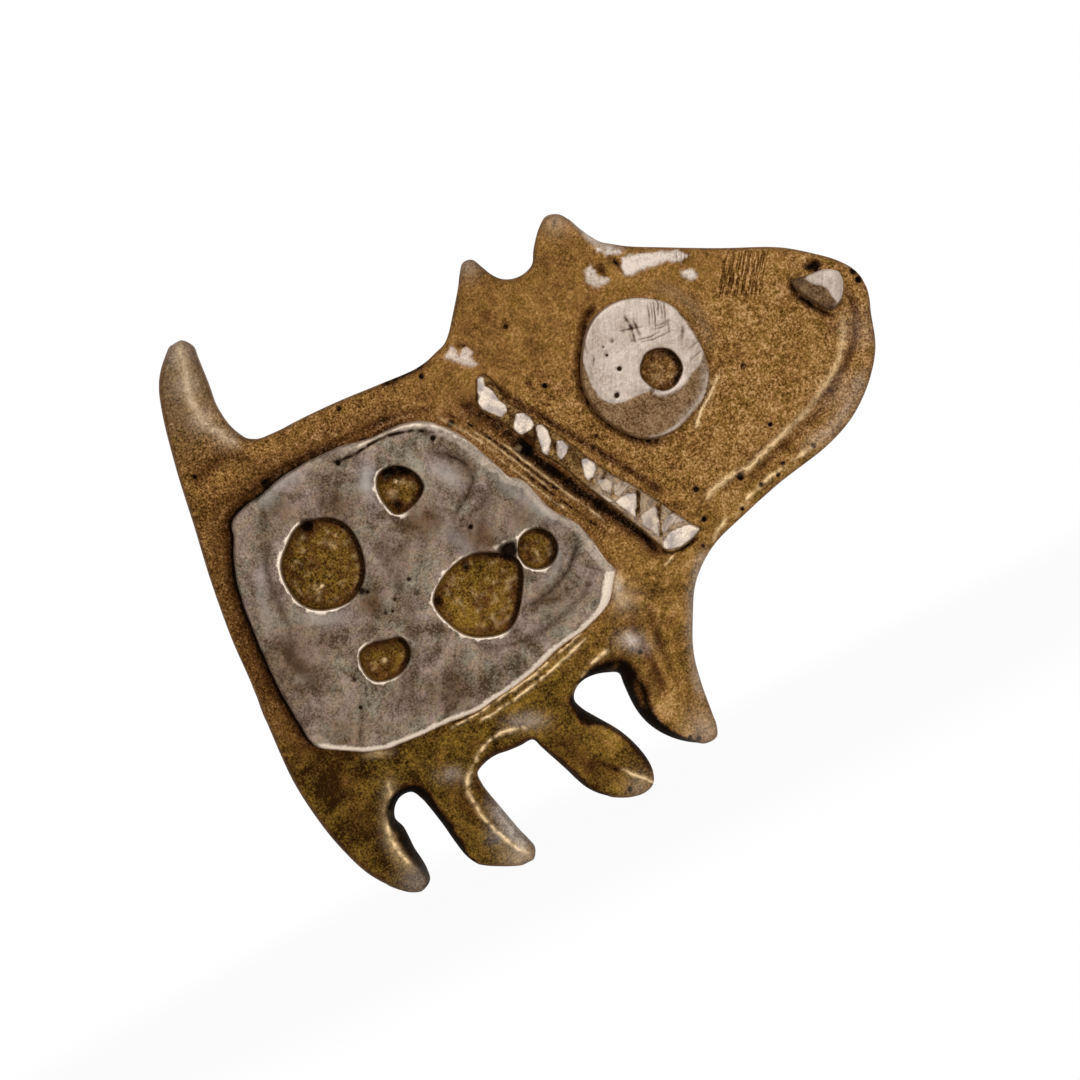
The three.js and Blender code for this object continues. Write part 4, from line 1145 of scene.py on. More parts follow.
def saddle_relief(points):
    """The silver saddle: a gently uneven plate with a rounded rim, which is wide and raised where it faces the
    picture's lower right and carries painted highlights there and at the upper right, and low rounded lips at its
    windows, with a painted highlight on the side of each that faces the picture's right."""
    relief = Relief(points, SADDLE_TOP - SADDLE_MARGIN)
    waves = SADDLE_WAVES * rough(points, size=2.2, seed=31)
    relief.height += waves + SADDLE_RIPPLES * rough(points, size=0.5, seed=33)
    edge, away = edge_of(points, SADDLE)
    lower_right = ease((facing(away, 0.62, -0.78) - 0.15) / 0.55)
    upper_right = ease((facing(away, 0.55, 0.83) - 0.3) / 0.5)
    right_corner = bell(distance_to(points, SADDLE_CORNER), LIP_CORNER_RADIUS)
    lip = SADDLE_RIM + LIP_WIDER * lower_right + LIP_CORNER * right_corner
    relief.height += LIP_RISE * lower_right * bell(edge - lip - LIP_RISE_OFFSET, LIP_RISE_WIDTH)
    relief.strokes(SADDLE_STROKES)
    relief.spots(SADDLE_SPOTS)
    rim = felt(points, SEAM_RIM, 0.30)
    relief.height += SEAM_RISE * rim
    for window in WINDOWS:
        depth, outward = edge_of(points, window)
        depth = np.abs(depth)
        to_left = share_facing(outward, -0.88, -0.48, level=0.35)
        relief.height += WINDOW_LIP_RISE * bell(depth - WINDOW_LIP_OFFSET, WINDOW_LIP_WIDTH)
        lip_width = grown(WINDOW_LIP_BRIGHT, rough(points, size=0.40, seed=41))
        # Painted highlight on each window's lip, on the side whose wall faces the picture's right.
        relief.bare_to(ease(to_left * 1.8) * (1 - ease((depth - lip_width) / 0.05)))
        relief.round_rim(depth, WINDOW_RIM, WINDOW_FOOT)
    hook = felt(points, HOOK_LIP, 0.12)
    relief.height += HOOK_RISE * hook
    relief.bare_to(felt(points, BRIDGE_LIP, 0.13))
    width = SADDLE_RIM + RIM_WIDER * lower_right
    upper_left = share_facing(away, -0.75, 0.66, level=0.2, gain=0.9)
    foot = FACE - grown(SADDLE_FOOT_DROP, upper_left)
    relief.round_rim(edge, width, foot, SADDLE_TOP)
    # Painted highlights: a bright lip where the rim faces the picture's lower right, and a thin line and a soft
    # band where it faces the upper right.
    wobble = 0.09 * rough(points, size=0.6, seed=43)
    bright_lip = lower_right * ease((lip + wobble - edge) / 0.10)
    thin_lip = upper_right * ease((0.17 + wobble - edge) / 0.05)
    band = 0.30 * upper_right * ease((0.80 + 3 * wobble - edge) / 0.3)
    relief.bare = np.maximum.reduce([relief.bare, bright_lip, thin_lip, band, 0.8 * rim * rim, hook])
    relief.dull()
    return relief


def stains_at(points):
    """How stained the saddle is: a few broad soft spots, broken up by noise."""
    stain = np.zeros(len(points))
    for spot in STAINS:
        stain += (1 - stain) * spot.dark * bell(distance_to(points, spot.place), spot.radius)
    return np.clip(stain * (1 + 0.5 * rough(points, size=0.9, seed=47)), 0, 1)


def below_line(points, path):
    """How far each point lies on the right of a drawn line's direction, negative on its left."""
    line = drawn(path)
    distance, along = near(points, line)
    nearest = np.minimum(along.astype(int), len(line) - 2)
    run = np.diff(line, axis=0)[nearest]
    step = points - line[nearest]
    return distance * np.sign(run[:, 1] * step[:, 0] - run[:, 0] * step[:, 1])


# The eye and the nose: how high their waves are, the small step where the eye's facet starts, and how high
# the lip beside the pupil is.
EYE_WAVES = 0.008
NOSE_WAVES = 0.012
FACET_STEP = 0.02
FACET_STEP_WIDTH = 0.1
EYE_LIP_RISE = 0.05


def eye_relief(points):
    """The eye: a flat filed face with a facet that falls away below a drawn line, a bright lip beside the pupil,
    fine scratches and a rounded rim, with a painted highlight at the right and the lower right."""
    relief = Relief(points, EYE_TOP - EYE_MARGIN)
    relief.height += EYE_WAVES * rough(points, size=0.8, seed=51)
    below = below_line(points, EYE_FACET)
    relief.height -= EYE_FACET_SLOPE * np.maximum(below, 0) + FACET_STEP * ease(below / FACET_STEP_WIDTH)
    flat = anticlockwise(spline(on_dog(EYE_FLAT), 3, closed=True))
    relief.bare = inside(points, flat, 0.12, 0.07 * rough(points, size=0.5, seed=53))
    relief.strokes(EYE_SCRATCHES)
    relief.spots(EYE_SPOTS)
    lip = felt(points, EYE_LIP, 0.13)
    relief.height += EYE_LIP_RISE * lip
    relief.bare_to(lip)
    relief.round_rim(np.abs(depth_inside(points, PUPIL)), PUPIL_RIM, EYE_PUPIL_FOOT)
    edge, outward = edge_of(points, EYE)
    lower_left = share_facing(outward, -0.75, -0.66)
    foot = EYE_TOP - EYE_RIM_DROP - (EYE_TOP - FACE + LOW_SIDE_DROP) * lower_left
    relief.round_rim(edge, EYE_RIM, foot, EYE_TOP)
    relief.dull(0.85)
    # Painted highlights on the rim: a broken line at the lower right and a strip at the right.
    lower_right = ease((facing(outward, 0.78, -0.62) - 0.55) / 0.3)
    line = lower_right * bell(edge - 0.20 + 0.06 * rough(points, size=0.5, seed=55), 0.09)
    relief.bare_to(line * (1.0 + 0.6 * rough(points, size=0.35, seed=57)))
    strip = bell(edge - 0.35, 0.28) * ease((facing(outward, 0.97, -0.22) - 0.72) / 0.2)
    relief.bare_to(strip * (0.40 + 0.30 * rough(points, size=0.25, seed=59)))
    return relief


def nose_relief(points):
    """The nose: a bright facet above and to the right of a drawn line, and a dark one that falls steeply
    below it, in a rounded rim."""
    relief = Relief(points, NOSE_TOP - NOSE_MARGIN)
    below = below_line(points, NOSE_FACET)
    relief.height -= NOSE_FACET_SLOPE * np.maximum(below, 0) + NOSE_FLAT_SLOPE * np.maximum(-below, 0)
    relief.height += NOSE_WAVES * rough(points, size=0.5, seed=61)
    bright = anticlockwise(on_dog(NOSE_BRIGHT))
    relief.bare = inside(points, bright, 0.10, 0.04 * rough(points, size=0.3, seed=63))
    relief.dark = (1 - relief.bare) * (0.30 + 0.40 * rough(points, size=0.4, seed=65)).clip(0, 1)
    relief.bare_to(felt(points, NOSE_EDGE, 0.09))
    edge, outward = edge_of(points, NOSE)
    lower_left = share_facing(outward, -0.60, -0.80)
    foot = NOSE_TOP - NOSE_RIM_DROP - (NOSE_TOP - FACE + LOW_SIDE_DROP) * lower_left
    relief.round_rim(edge, NOSE_RIM, foot, NOSE_TOP)
    return relief


# The collar: how high its waves are, how far the foot of its rim lies under the casting's face, and how much
# is added to that at the lower left.
COLLAR_WAVES = 0.05
COLLAR_FOOT_DROP = (0.06, 0.36)


def collar_relief(points):
    """The collar: a low uneven band with chiselled teeth raised on it and dark cuts between them."""
    relief = Relief(points, COLLAR_TOP - COLLAR_MARGIN)
    relief.height += COLLAR_WAVES * rough(points, size=0.7, seed=71)
    relief.dark = np.clip(0.06 + 0.40 * rough(points, size=0.45, seed=73), 0, 0.6)
    relief.patches([COLLAR_GREY], soft=0.6, rag=0.3)
    relief.strokes(COLLAR_CUTS)
    relief.dull()
    relief.patches(TEETH, soft=0.05, rag=0.05)
    edge, outward = edge_of(points, COLLAR)
    lower_left = share_facing(outward, -0.55, -0.83)
    relief.spots(COLLAR_SPOTS)
    # Painted shade: the teeth lose their brightness at the lower left edge.
    relief.bare *= 1 - lower_left * (1 - ease((edge - 0.04) / 0.12))
    foot = FACE - grown(COLLAR_FOOT_DROP, lower_left)
    relief.round_rim(edge, COLLAR_RIM, foot, COLLAR_TOP)
    return relief


def honeycomb(low, high, spacing):
    """Points at the corners of equilateral triangles over a rectangle: every other row is shifted by half."""
    columns = np.arange(low[0], high[0], spacing)
    rows = np.arange(low[1], high[1], spacing * math.sqrt(3) / 2)
    x, z = np.meshgrid(columns, rows)
    x = x + (np.arange(len(rows)) % 2)[:, None] * spacing / 2
    return np.column_stack([x.ravel(), z.ravel()])


def triangulate(points, loops):
    """Triangles over all the points inside the first loop and outside the others, anticlockwise. The loops'
    own points come first among the points, and their edges are kept."""
    edges = []
    first = 0
    for loop in loops:
        count = len(loop)
        edges += [(first + i, first + (i + 1) % count) for i in range(count)]
        first += count
    inside_only, nearly_same, with_sources = 1, 1e-6, True
    made = delaunay_2d_cdt([Vector(point) for point in points.tolist()], edges, [], inside_only, nearly_same,
                           with_sources)
    places = np.array([vertex[:] for vertex in made[0]])
    source = np.array([given[0] if given else -1 for given in made[3]])
    triangles = np.array(made[2])
    a, b, c = (places[triangles[:, i]] for i in range(3))
    turned = (b[:, 0] - a[:, 0]) * (c[:, 1] - a[:, 1]) - (b[:, 1] - a[:, 1]) * (c[:, 0] - a[:, 0]) < 0
    triangles[turned] = triangles[turned][:, ::-1]
    kept = room(places[triangles].mean(axis=1), loops) > 0
    return places, triangles[kept], source


def beside(line, gaps, closed=False):
    """Points beside a line, at each of the gaps to its right."""
    if closed:
        return np.vstack([line + normals_of(line) * gap for gap in gaps])
    run = np.gradient(line, axis=0)
    run = run / np.maximum(np.linalg.norm(run, axis=1), TINY)[:, None]
    right = np.column_stack([run[:, 1], -run[:, 0]])
    return np.vstack([line + right * gap for gap in gaps])


def detail_points(strokes=(), spots=(), patches=()):
    """Extra places for what is finer than the honeycomb: rows along thin lines, small rings in pits, and rows
    on both sides of a patch's outline."""
    places = []
    for stroke in strokes:
        if stroke.half_width < THIN_LINE:
            line = evenly(drawn(stroke.path), DETAIL_STEP)
            places.append(beside(line, np.array(LINE_ROWS) * stroke.half_width))
    for spot in spots:
        if spot.radius < SMALL_PIT:
            rings = [circle(spot.radius * share, PIT_RING_COUNT, turn) for share, turn in PIT_RINGS]
            places.append(np.vstack(rings) + on_dog(spot.place))
    for patch in patches:
        outline = on_dog(patch.outline)
        places.append(beside(evenly(np.vstack([outline, outline[:1]]), DETAIL_STEP), PATCH_ROWS))
    return np.vstack(places)


def evenly(line, step):
    """The same line with points at even steps along it."""
    length = np.concatenate([[0], np.cumsum(np.linalg.norm(np.diff(line, axis=0), axis=1))])
    at = np.linspace(0, length[-1], max(2, round(length[-1] / step) + 1))
    return np.column_stack([np.interp(at, length, line[:, 0]), np.interp(at, length, line[:, 1])])


def squares_of(points, side):
    """A number for the small square that each point lies in, with room for a step to each neighbour."""
    column, row = np.floor(points / side).astype(np.int64).T
    return column * COLUMN_STEP + row


def plate_points(loops, spacing, rings, guides=(), detail=None, coarse=None):
    """The places where a plate's height is worked out: its loops, rings beside them, rings beside guide
    lines where the height steps, places of fine detail, and a honeycomb between, wider where nothing
    shows. No two of the rest share a very small square, and the honeycomb keeps clear of the others."""
    low, high = loops[0].min(axis=0), loops[0].max(axis=0)
    border = np.vstack(loops)
    special = [beside(loop, -np.array(rings), closed=True) for loop in loops]
    special += [beside(guide, gaps, closed=True) for guide, gaps in guides]
    special += [] if detail is None else [detail]
    special = np.vstack(special)
    special = np.vstack([border, special[room(special, loops) > DETAIL_CLEARANCE]])
    _, first = np.unique(squares_of(special, DETAIL_SQUARE), return_index=True)
    special = special[np.union1d(first, np.arange(len(border)))]
    grid = honeycomb(low, high, spacing)
    if coarse is not None:
        plain = honeycomb(low, high, spacing * COARSE_FACTOR)
        grid = np.vstack([grid[~coarse(grid)], plain[coarse(plain)]])
    grid = grid[room(grid, loops) > HONEYCOMB_CLEARANCE]
    side = 0.5 * spacing
    neighbours = [column * COLUMN_STEP + row for column in (-1, 0, 1) for row in (-1, 0, 1)]
    taken = np.add.outer(neighbours, squares_of(special, side))
    return np.vstack([special, grid[~np.isin(squares_of(grid, side), taken)]])


def build_mesh(name, vertices, polygons, smooth, attributes=None):
    """A mesh from vertices in millimetres and arrays of polygons, one array for each number of corners, each
    with its own smoothness."""
    mesh = bpy.data.meshes.new(name)
    mesh.vertices.add(len(vertices))
    mesh.vertices.foreach_set("co", (np.asarray(vertices) * MM).ravel())
    corners = np.concatenate([faces.ravel() for faces in polygons])
    sizes = np.concatenate([np.full(len(faces), faces.shape[1]) for faces in polygons])
    mesh.loops.add(len(corners))
    mesh.loops.foreach_set("vertex_index", corners.astype(np.int32))
    mesh.polygons.add(len(sizes))
    mesh.polygons.foreach_set("loop_start", (np.cumsum(sizes) - sizes).astype(np.int32))
    shading = np.concatenate([np.full(len(faces), soft) for faces, soft in zip(polygons, smooth)])
    mesh.polygons.foreach_set("use_smooth", shading)
    for key, values in (attributes or {}).items():
        mesh.attributes.new(key, "FLOAT", "POINT").data.foreach_set("value", values.astype(np.float32))
    mesh.update(calc_edges=True)
    mesh.validate()
    return mesh


def add_piece(mesh, material, node):
    """Puts a mesh in the scene as the piece that stands for a solid, on the body that it belongs to."""
    piece = bpy.data.objects.new(mesh.name, mesh)
    bpy.context.scene.collection.objects.link(piece)
    mesh.materials.append(material)
    body = next(name for name, nodes in frame["record"]["behaviour"]["bodies"].items() if node in nodes)
    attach(piece, body)
    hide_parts(node)


def plate(name, loops, relief_of, back, wall_rows, spacing, rings, guides=(), detail=None, coarse=None,
          extra=None):
    """A closed plate: the front stands as high as the relief says over every place inside the loops, walls
    run from its edges to the back in rows that may draw in, and a flat back closes it. The finish of the
    front's edge fades down the walls."""
    loops = [loops[0], *(loop[::-1] for loop in loops[1:])]
    given = plate_points(loops, spacing, rings, guides, detail, coarse)
    places, front, source = triangulate(given, loops)
    relief = relief_of(places)
    count = sum(len(loop) for loop in loops)
    at_source = np.empty(count, int)
    first_hand = (source >= 0) & (source < count)
    at_source[source[first_hand]] = np.flatnonzero(first_hand)
    border = places[at_source]
    outward = np.vstack([normals_of(loop) for loop in loops])
    vertices = [np.column_stack([places[:, 0], -relief.height, places[:, 1]])]
    rows = [at_source]
    for share, draw_in in wall_rows:
        moved = border - outward * draw_in
        height = back + share * (relief.height[at_source] - back)
        rows.append(sum(map(len, vertices)) + np.arange(count))
        vertices.append(np.column_stack([moved[:, 0], -height, moved[:, 1]]))
    following = np.concatenate([
        first + np.roll(np.arange(len(loop)), -1)
        for first, loop in zip(np.cumsum([0, *map(len, loops[:-1])]), loops)
    ])
    walls = np.vstack([
        np.column_stack([upper, lower, lower[following], upper[following]])
        for upper, lower in zip(rows, rows[1:])
    ])
    _, back_triangles, back_source = triangulate(np.vstack(loops), loops)
    behind = rows[-1][back_source[back_triangles]][:, ::-1]
    everywhere = np.concatenate([np.arange(len(places)), *[at_source] * len(wall_rows)])
    fading = np.concatenate([np.ones(len(places)), *[np.full(count, share) for share, _ in wall_rows]])
    attributes = {"dark": relief.dark, "shine": relief.shine, "bare": relief.bare}
    attributes.update({key: values(places) for key, values in (extra or {}).items()})
    attributes = {key: values[everywhere] * fading for key, values in attributes.items()}
    return build_mesh(name, np.vstack(vertices), [front, walls, behind], [True, True, False], attributes)


def ring_mesh(rings):
    """Vertices and faces of a closed tube through rings of equal counts: squares between neighbours and one
    flat face at each end. Rings run anticlockwise as seen against the way the tube goes."""
    count = rings[0].shape[0]
    index = np.arange(len(rings) * count).reshape(len(rings), count)
    after = np.roll(index, -1, axis=1)
    squares = np.stack([index[:-1], after[:-1], after[1:], index[1:]], axis=-1).reshape(-1, 4)
    return np.vstack(rings), squares, index[0][::-1][None, :], index[-1][None, :]


def bar(section, low, high, rounding, origin, across, up):
    """A bar with a closed section, from low to high along the direction across x up: near both ends the
    section is drawn in along its normals by a quarter circle of the rounding's radius."""
    across, up = np.asarray(across, float), np.asarray(up, float)
    ahead = np.cross(across, up)
    turns = np.radians([0, 30, 60, 90])
    draw_in = rounding * (1 - np.sin(turns))
    start = low + rounding * (1 - np.cos(turns))
    end = high - rounding * (1 - np.cos(turns[::-1]))
    rings = []
    for gap, at in [*zip(draw_in, start), *zip(draw_in[::-1], end)]:
        shape = section - normals_of(section) * gap
        rings.append(origin + shape[:, :1] * across + shape[:, 1:] * up + at * ahead)
    return ring_mesh(rings)


def turned(profile, origin, ahead, sides=48):
    """A turned piece: circles of each radius in the profile, at each distance along the axis."""
    ahead = np.asarray(ahead, float)
    across = np.array([0.0, 0.0, 1.0]) if abs(ahead[2]) < 0.5 else np.array([1.0, 0.0, 0.0])
    up = np.cross(ahead, across)
    around = circle(1, sides) @ np.array([across, up])
    return ring_mesh([origin + radius * around + at * ahead for radius, at in profile])


def joined(name, parts):
    """One mesh from several closed parts, each with its squares and its two end faces."""
    vertices, squares, ends = [], [], []
    first = 0
    for places, sides, low, high in parts:
        vertices.append(places)
        squares.append(sides + first)
        ends += [low + first, high + first]
        first += len(places)
    return build_mesh(name, np.vstack(vertices), [np.vstack(squares), *ends], [True] + [False] * len(ends))


def arc(radius, start, end, count, centre=(0.0, 0.0)):
    """Points on part of a circle, from one angle to another in degrees."""
    angle = np.radians(np.linspace(start, end, count))
    return np.column_stack([np.cos(angle), np.sin(angle)]) * radius + centre


def circle(radius, count, start=0):
    """Evenly spaced points on a whole circle, from an angle in degrees."""
    return arc(radius, start, start + 360 - 360 / count, count)


# Sizes of the pin and its fittings that the frame doesn't give by itself.
PATCH_RADIUS = 2.9
PATCH_THICKNESS = 0.5
PATCH_ROUNDING = 0.10
FILLET_WIDTH = 0.28
FILLET_HEIGHT = 0.26
# The height at which the ears and the neck begin, inside their patches.
ROOT_HEIGHT = 0.3
EAR_RADIUS = 1.3
EAR_INSIDE = 0.56
EAR_OUTSIDE = 1.16
KNUCKLE_RADIUS = 1.15
KNUCKLE_HALF = 0.5
RIVET_RADIUS = 0.45
RIVET_HEAD_RADIUS = 0.8
RIVET_HEAD = 0.35
RIVET_HEAD_EDGE = 0.10
# The wire's radii and distances from the rivet, where it swells beside the knuckle.
WIRE_SWELL = [(0.46, 0.85), (0.62, 0.95), (0.60, 1.12), (0.54, 1.30), (0.505, 1.6)]
WIRE_SWELL_END = 2.4
WIRE_RADIUS = 0.5
WIRE_THIN_RADIUS = 0.42
WIRE_THIN_LENGTH = 9
POINT_LENGTH = 5
POINT_RADIUS = 0.012
TUBE_OUTER = 1.95
TUBE_INNER = 1.40
TUBE_HALF = 1.6
TUBE_MOUTH = 58
NECK_HALF = 0.9
NECK_FLARE = 0.35
NECK_INSET = 0.05
NECK_OVERLAP = 0.4
ROTOR_OUTER = 1.34
ROTOR_INNER = 0.8
ROTOR_SLOT = 0.525
ROTOR_RIM = 1.65
ROTOR_RIM_START = 1.68
ROTOR_RIM_END = 2.03
TAB_ANGLE = math.radians(-40)
TAB_REACH = 3.4
TAB_HALF_WIDTH = 0.9
TAB_HALF_THICKNESS = 0.25
TAB_CORNER = 0.35
TAB_ROOT = 0.3

# How far the ends of each bar are rounded.
EAR_ROUNDING = 0.08
KNUCKLE_ROUNDING = 0.12
TUBE_ROUNDING = 0.07
NECK_ROUNDING = 0.10
ROTOR_ROUNDING = 0.04
RIM_ROUNDING = 0.06
TAB_ROUNDING = 0.10

# The angles at which the roundings of a patch and of the rivet's head end, just under a quarter turn.
PATCH_TURN = 1.57
HEAD_TURN = 1.545


def solder_patch(place):
    """A round patch on the back: a turned disc with a rounded upper edge and a hollow fillet of solder at
    its foot."""
    fillet = [(PATCH_RADIUS + FILLET_WIDTH * (1 - math.sin(turn)), FILLET_HEIGHT * (1 - math.cos(turn)))
              for turn in np.linspace(0, math.pi / 2, 6)]
    flat_radius, side = PATCH_RADIUS - PATCH_ROUNDING, PATCH_THICKNESS - PATCH_ROUNDING
    top = [(flat_radius + PATCH_ROUNDING * math.cos(turn), side + PATCH_ROUNDING * math.sin(turn))
           for turn in np.linspace(0, PATCH_TURN, 5)]
    return turned([*fillet, *top], np.array([place[0], 0.0, place[2]]), (0, 1, 0), 72)


def hinge_mesh():
    """The hinge's fixed part: the patch and two ears, each a flat bar with a half-round top."""
    centre = JOINTS["pin_swing"]
    foot = ROOT_HEIGHT - centre[1]
    ear = np.vstack([[(-EAR_RADIUS, foot), (EAR_RADIUS, foot)], arc(EAR_RADIUS, 0, 180, 25)])
    parts = [solder_patch(centre)]
    for low, high in ((EAR_INSIDE, EAR_OUTSIDE), (-EAR_OUTSIDE, -EAR_INSIDE)):
        parts.append(bar(ear, low, high, EAR_ROUNDING, centre, (1, 0, 0), (0, 1, 0)))
    return joined("hinge", parts)


def rivet_mesh():
    """The rivet: a straight shank with a domed head at each end."""
    side, rise = EAR_OUTSIDE + RIVET_HEAD_EDGE, RIVET_HEAD - RIVET_HEAD_EDGE
    dome = [(RIVET_HEAD_RADIUS * math.cos(turn), side + rise * math.sin(turn))
            for turn in np.linspace(0, HEAD_TURN, 8)]
    upper = [(RIVET_RADIUS, EAR_OUTSIDE - 0.02), (RIVET_HEAD_RADIUS - 0.04, EAR_OUTSIDE), *dome]
    lower = [(radius, -at) for radius, at in reversed(upper)]
    return joined("rivet", [turned([*lower, *upper], JOINTS["pin_swing"], (0, 0, 1), 36)])


def pin_mesh():
    """The pin: a round knuckle on the rivet, and a wire that swells where it leaves the knuckle, thins
    towards the catch and is ground to a long point."""
    centre = JOINTS["pin_swing"]
    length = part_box("pin_stem")[1][0] / MM - centre[0]
    knuckle = bar(circle(KNUCKLE_RADIUS, 48), -KNUCKLE_HALF, KNUCKLE_HALF, KNUCKLE_ROUNDING, centre,
                  (1, 0, 0), (0, 1, 0))
    body = [*WIRE_SWELL, (WIRE_RADIUS, WIRE_SWELL_END), (WIRE_RADIUS, length / 3),
            (WIRE_THIN_RADIUS, length - WIRE_THIN_LENGTH)]
    point = [(WIRE_THIN_RADIUS * (1 - share**1.6) + POINT_RADIUS, length - POINT_LENGTH * (1 - share))
             for share in np.linspace(0, 1, 12)]
    wire = turned([*body, *point], centre, (1, 0, 0), 32)
    return joined("pin", [knuckle, wire])


def catch_mesh():
    """The catch's fixed part: the patch, a short neck, and a tube whose wide mouth looks to the back. The
    mouth's lips are rounded, and stay behind its half angle, which leaves the thumb tab its room."""
    centre = JOINTS["rotor_turn"]
    middle = (TUBE_OUTER + TUBE_INNER) / 2
    wall = (TUBE_OUTER - TUBE_INNER) / 2
    lip = TUBE_MOUTH + math.degrees(math.asin(wall / middle))
    tip = arc(middle, lip, lip, 1)
    section = np.vstack([
        arc(TUBE_OUTER, lip, 360 - lip, 60),
        arc(wall, -lip, 180 - lip, 9, tip * (1, -1))[1:-1],
        arc(TUBE_INNER, 360 - lip, lip, 50),
        arc(wall, lip + 180, lip + 360, 9, tip)[1:-1],
    ])
    tube = bar(section, -TUBE_HALF, TUBE_HALF, TUBE_ROUNDING, centre, (0, 1, 0), (0, 0, 1))
    foot, top = ROOT_HEIGHT - centre[1], NECK_OVERLAP - TUBE_OUTER
    flare = np.linspace(0, 1, 7)[:, None]
    side = np.hstack([foot + (top - foot) * flare, NECK_HALF + NECK_FLARE * (1 - flare) ** 3])
    neck_section = np.vstack([side * (1, -1), side[::-1]])
    half = TUBE_HALF - NECK_INSET
    neck = bar(neck_section, -half, half, NECK_ROUNDING, centre, (0, 1, 0), (0, 0, 1))
    return joined("catch_tube", [solder_patch(centre), neck, tube])


def slotted_section(outer):
    """A ring with a slot of parallel sides towards the first axis."""
    out = math.degrees(math.asin(ROTOR_SLOT / outer))
    into = math.degrees(math.asin(ROTOR_SLOT / ROTOR_INNER))
    return np.vstack([arc(outer, out, 360 - out, 60), arc(ROTOR_INNER, 360 - into, into, 40)])


def rotor_mesh():
    """The catch's turning part: a slotted tube, a rim past each end of the housing, and a thumb tab with round
    corners."""
    centre = JOINTS["rotor_turn"]
    axes = ((0, 1, 0), (0, 0, 1))
    tube = slotted_section(ROTOR_OUTER)
    parts = [bar(tube, -ROTOR_RIM_END, ROTOR_RIM_END, ROTOR_ROUNDING, centre, *axes)]
    for low, high in ((ROTOR_RIM_START, ROTOR_RIM_END), (-ROTOR_RIM_END, -ROTOR_RIM_START)):
        parts.append(bar(slotted_section(ROTOR_RIM), low, high, RIM_ROUNDING, centre, *axes))
    away = np.array([0.0, math.cos(TAB_ANGLE), math.sin(TAB_ANGLE)])
    root = ROTOR_OUTER - TAB_ROOT
    half, end = TAB_HALF_WIDTH - TAB_CORNER, TAB_REACH - TAB_CORNER
    outline = np.vstack([
        [(-TAB_HALF_WIDTH, root), (TAB_HALF_WIDTH, root)],
        arc(TAB_CORNER, 0, 90, 7, (half, end)),
        arc(TAB_CORNER, 90, 180, 7, (-half, end)),
    ])
    parts.append(bar(outline, -TAB_HALF_THICKNESS, TAB_HALF_THICKNESS, TAB_ROUNDING, centre, (1, 0, 0), away))
    return joined("catch_rotor_tube", parts)


class Wire:
    """A value in a material. Arithmetic on it adds Math nodes and gives the value of the last of them."""

    def __init__(self, nodes, socket):
        self.nodes = nodes
        self.socket = socket

    def math(self, operation, *values):
        return self.nodes.add("ShaderNodeMath", {"operation": operation}, values)

    def __add__(self, other):
        return self.math("ADD", self, other)

    def __radd__(self, other):
        return self.math("ADD", other, self)

    def __sub__(self, other):
        return self.math("SUBTRACT", self, other)

    def __rsub__(self, other):
        return self.math("SUBTRACT", other, self)

    def __mul__(self, other):
        return self.math("MULTIPLY", self, other)

    def __rmul__(self, other):
        return self.math("MULTIPLY", other, self)

    def __pow__(self, other):
        return self.math("POWER", self, other)

    def clamped(self):
        return self.nodes.add("ShaderNodeClamp", {}, [self])

    def between(self, low, high):
        """A smooth step from 0 to 1 as the value goes from low to high."""
        settings = {"interpolation_type": "SMOOTHSTEP"}
        inputs = {"Value": self, "From Min": low, "From Max": high}
        return self.nodes.add("ShaderNodeMapRange", settings, inputs)


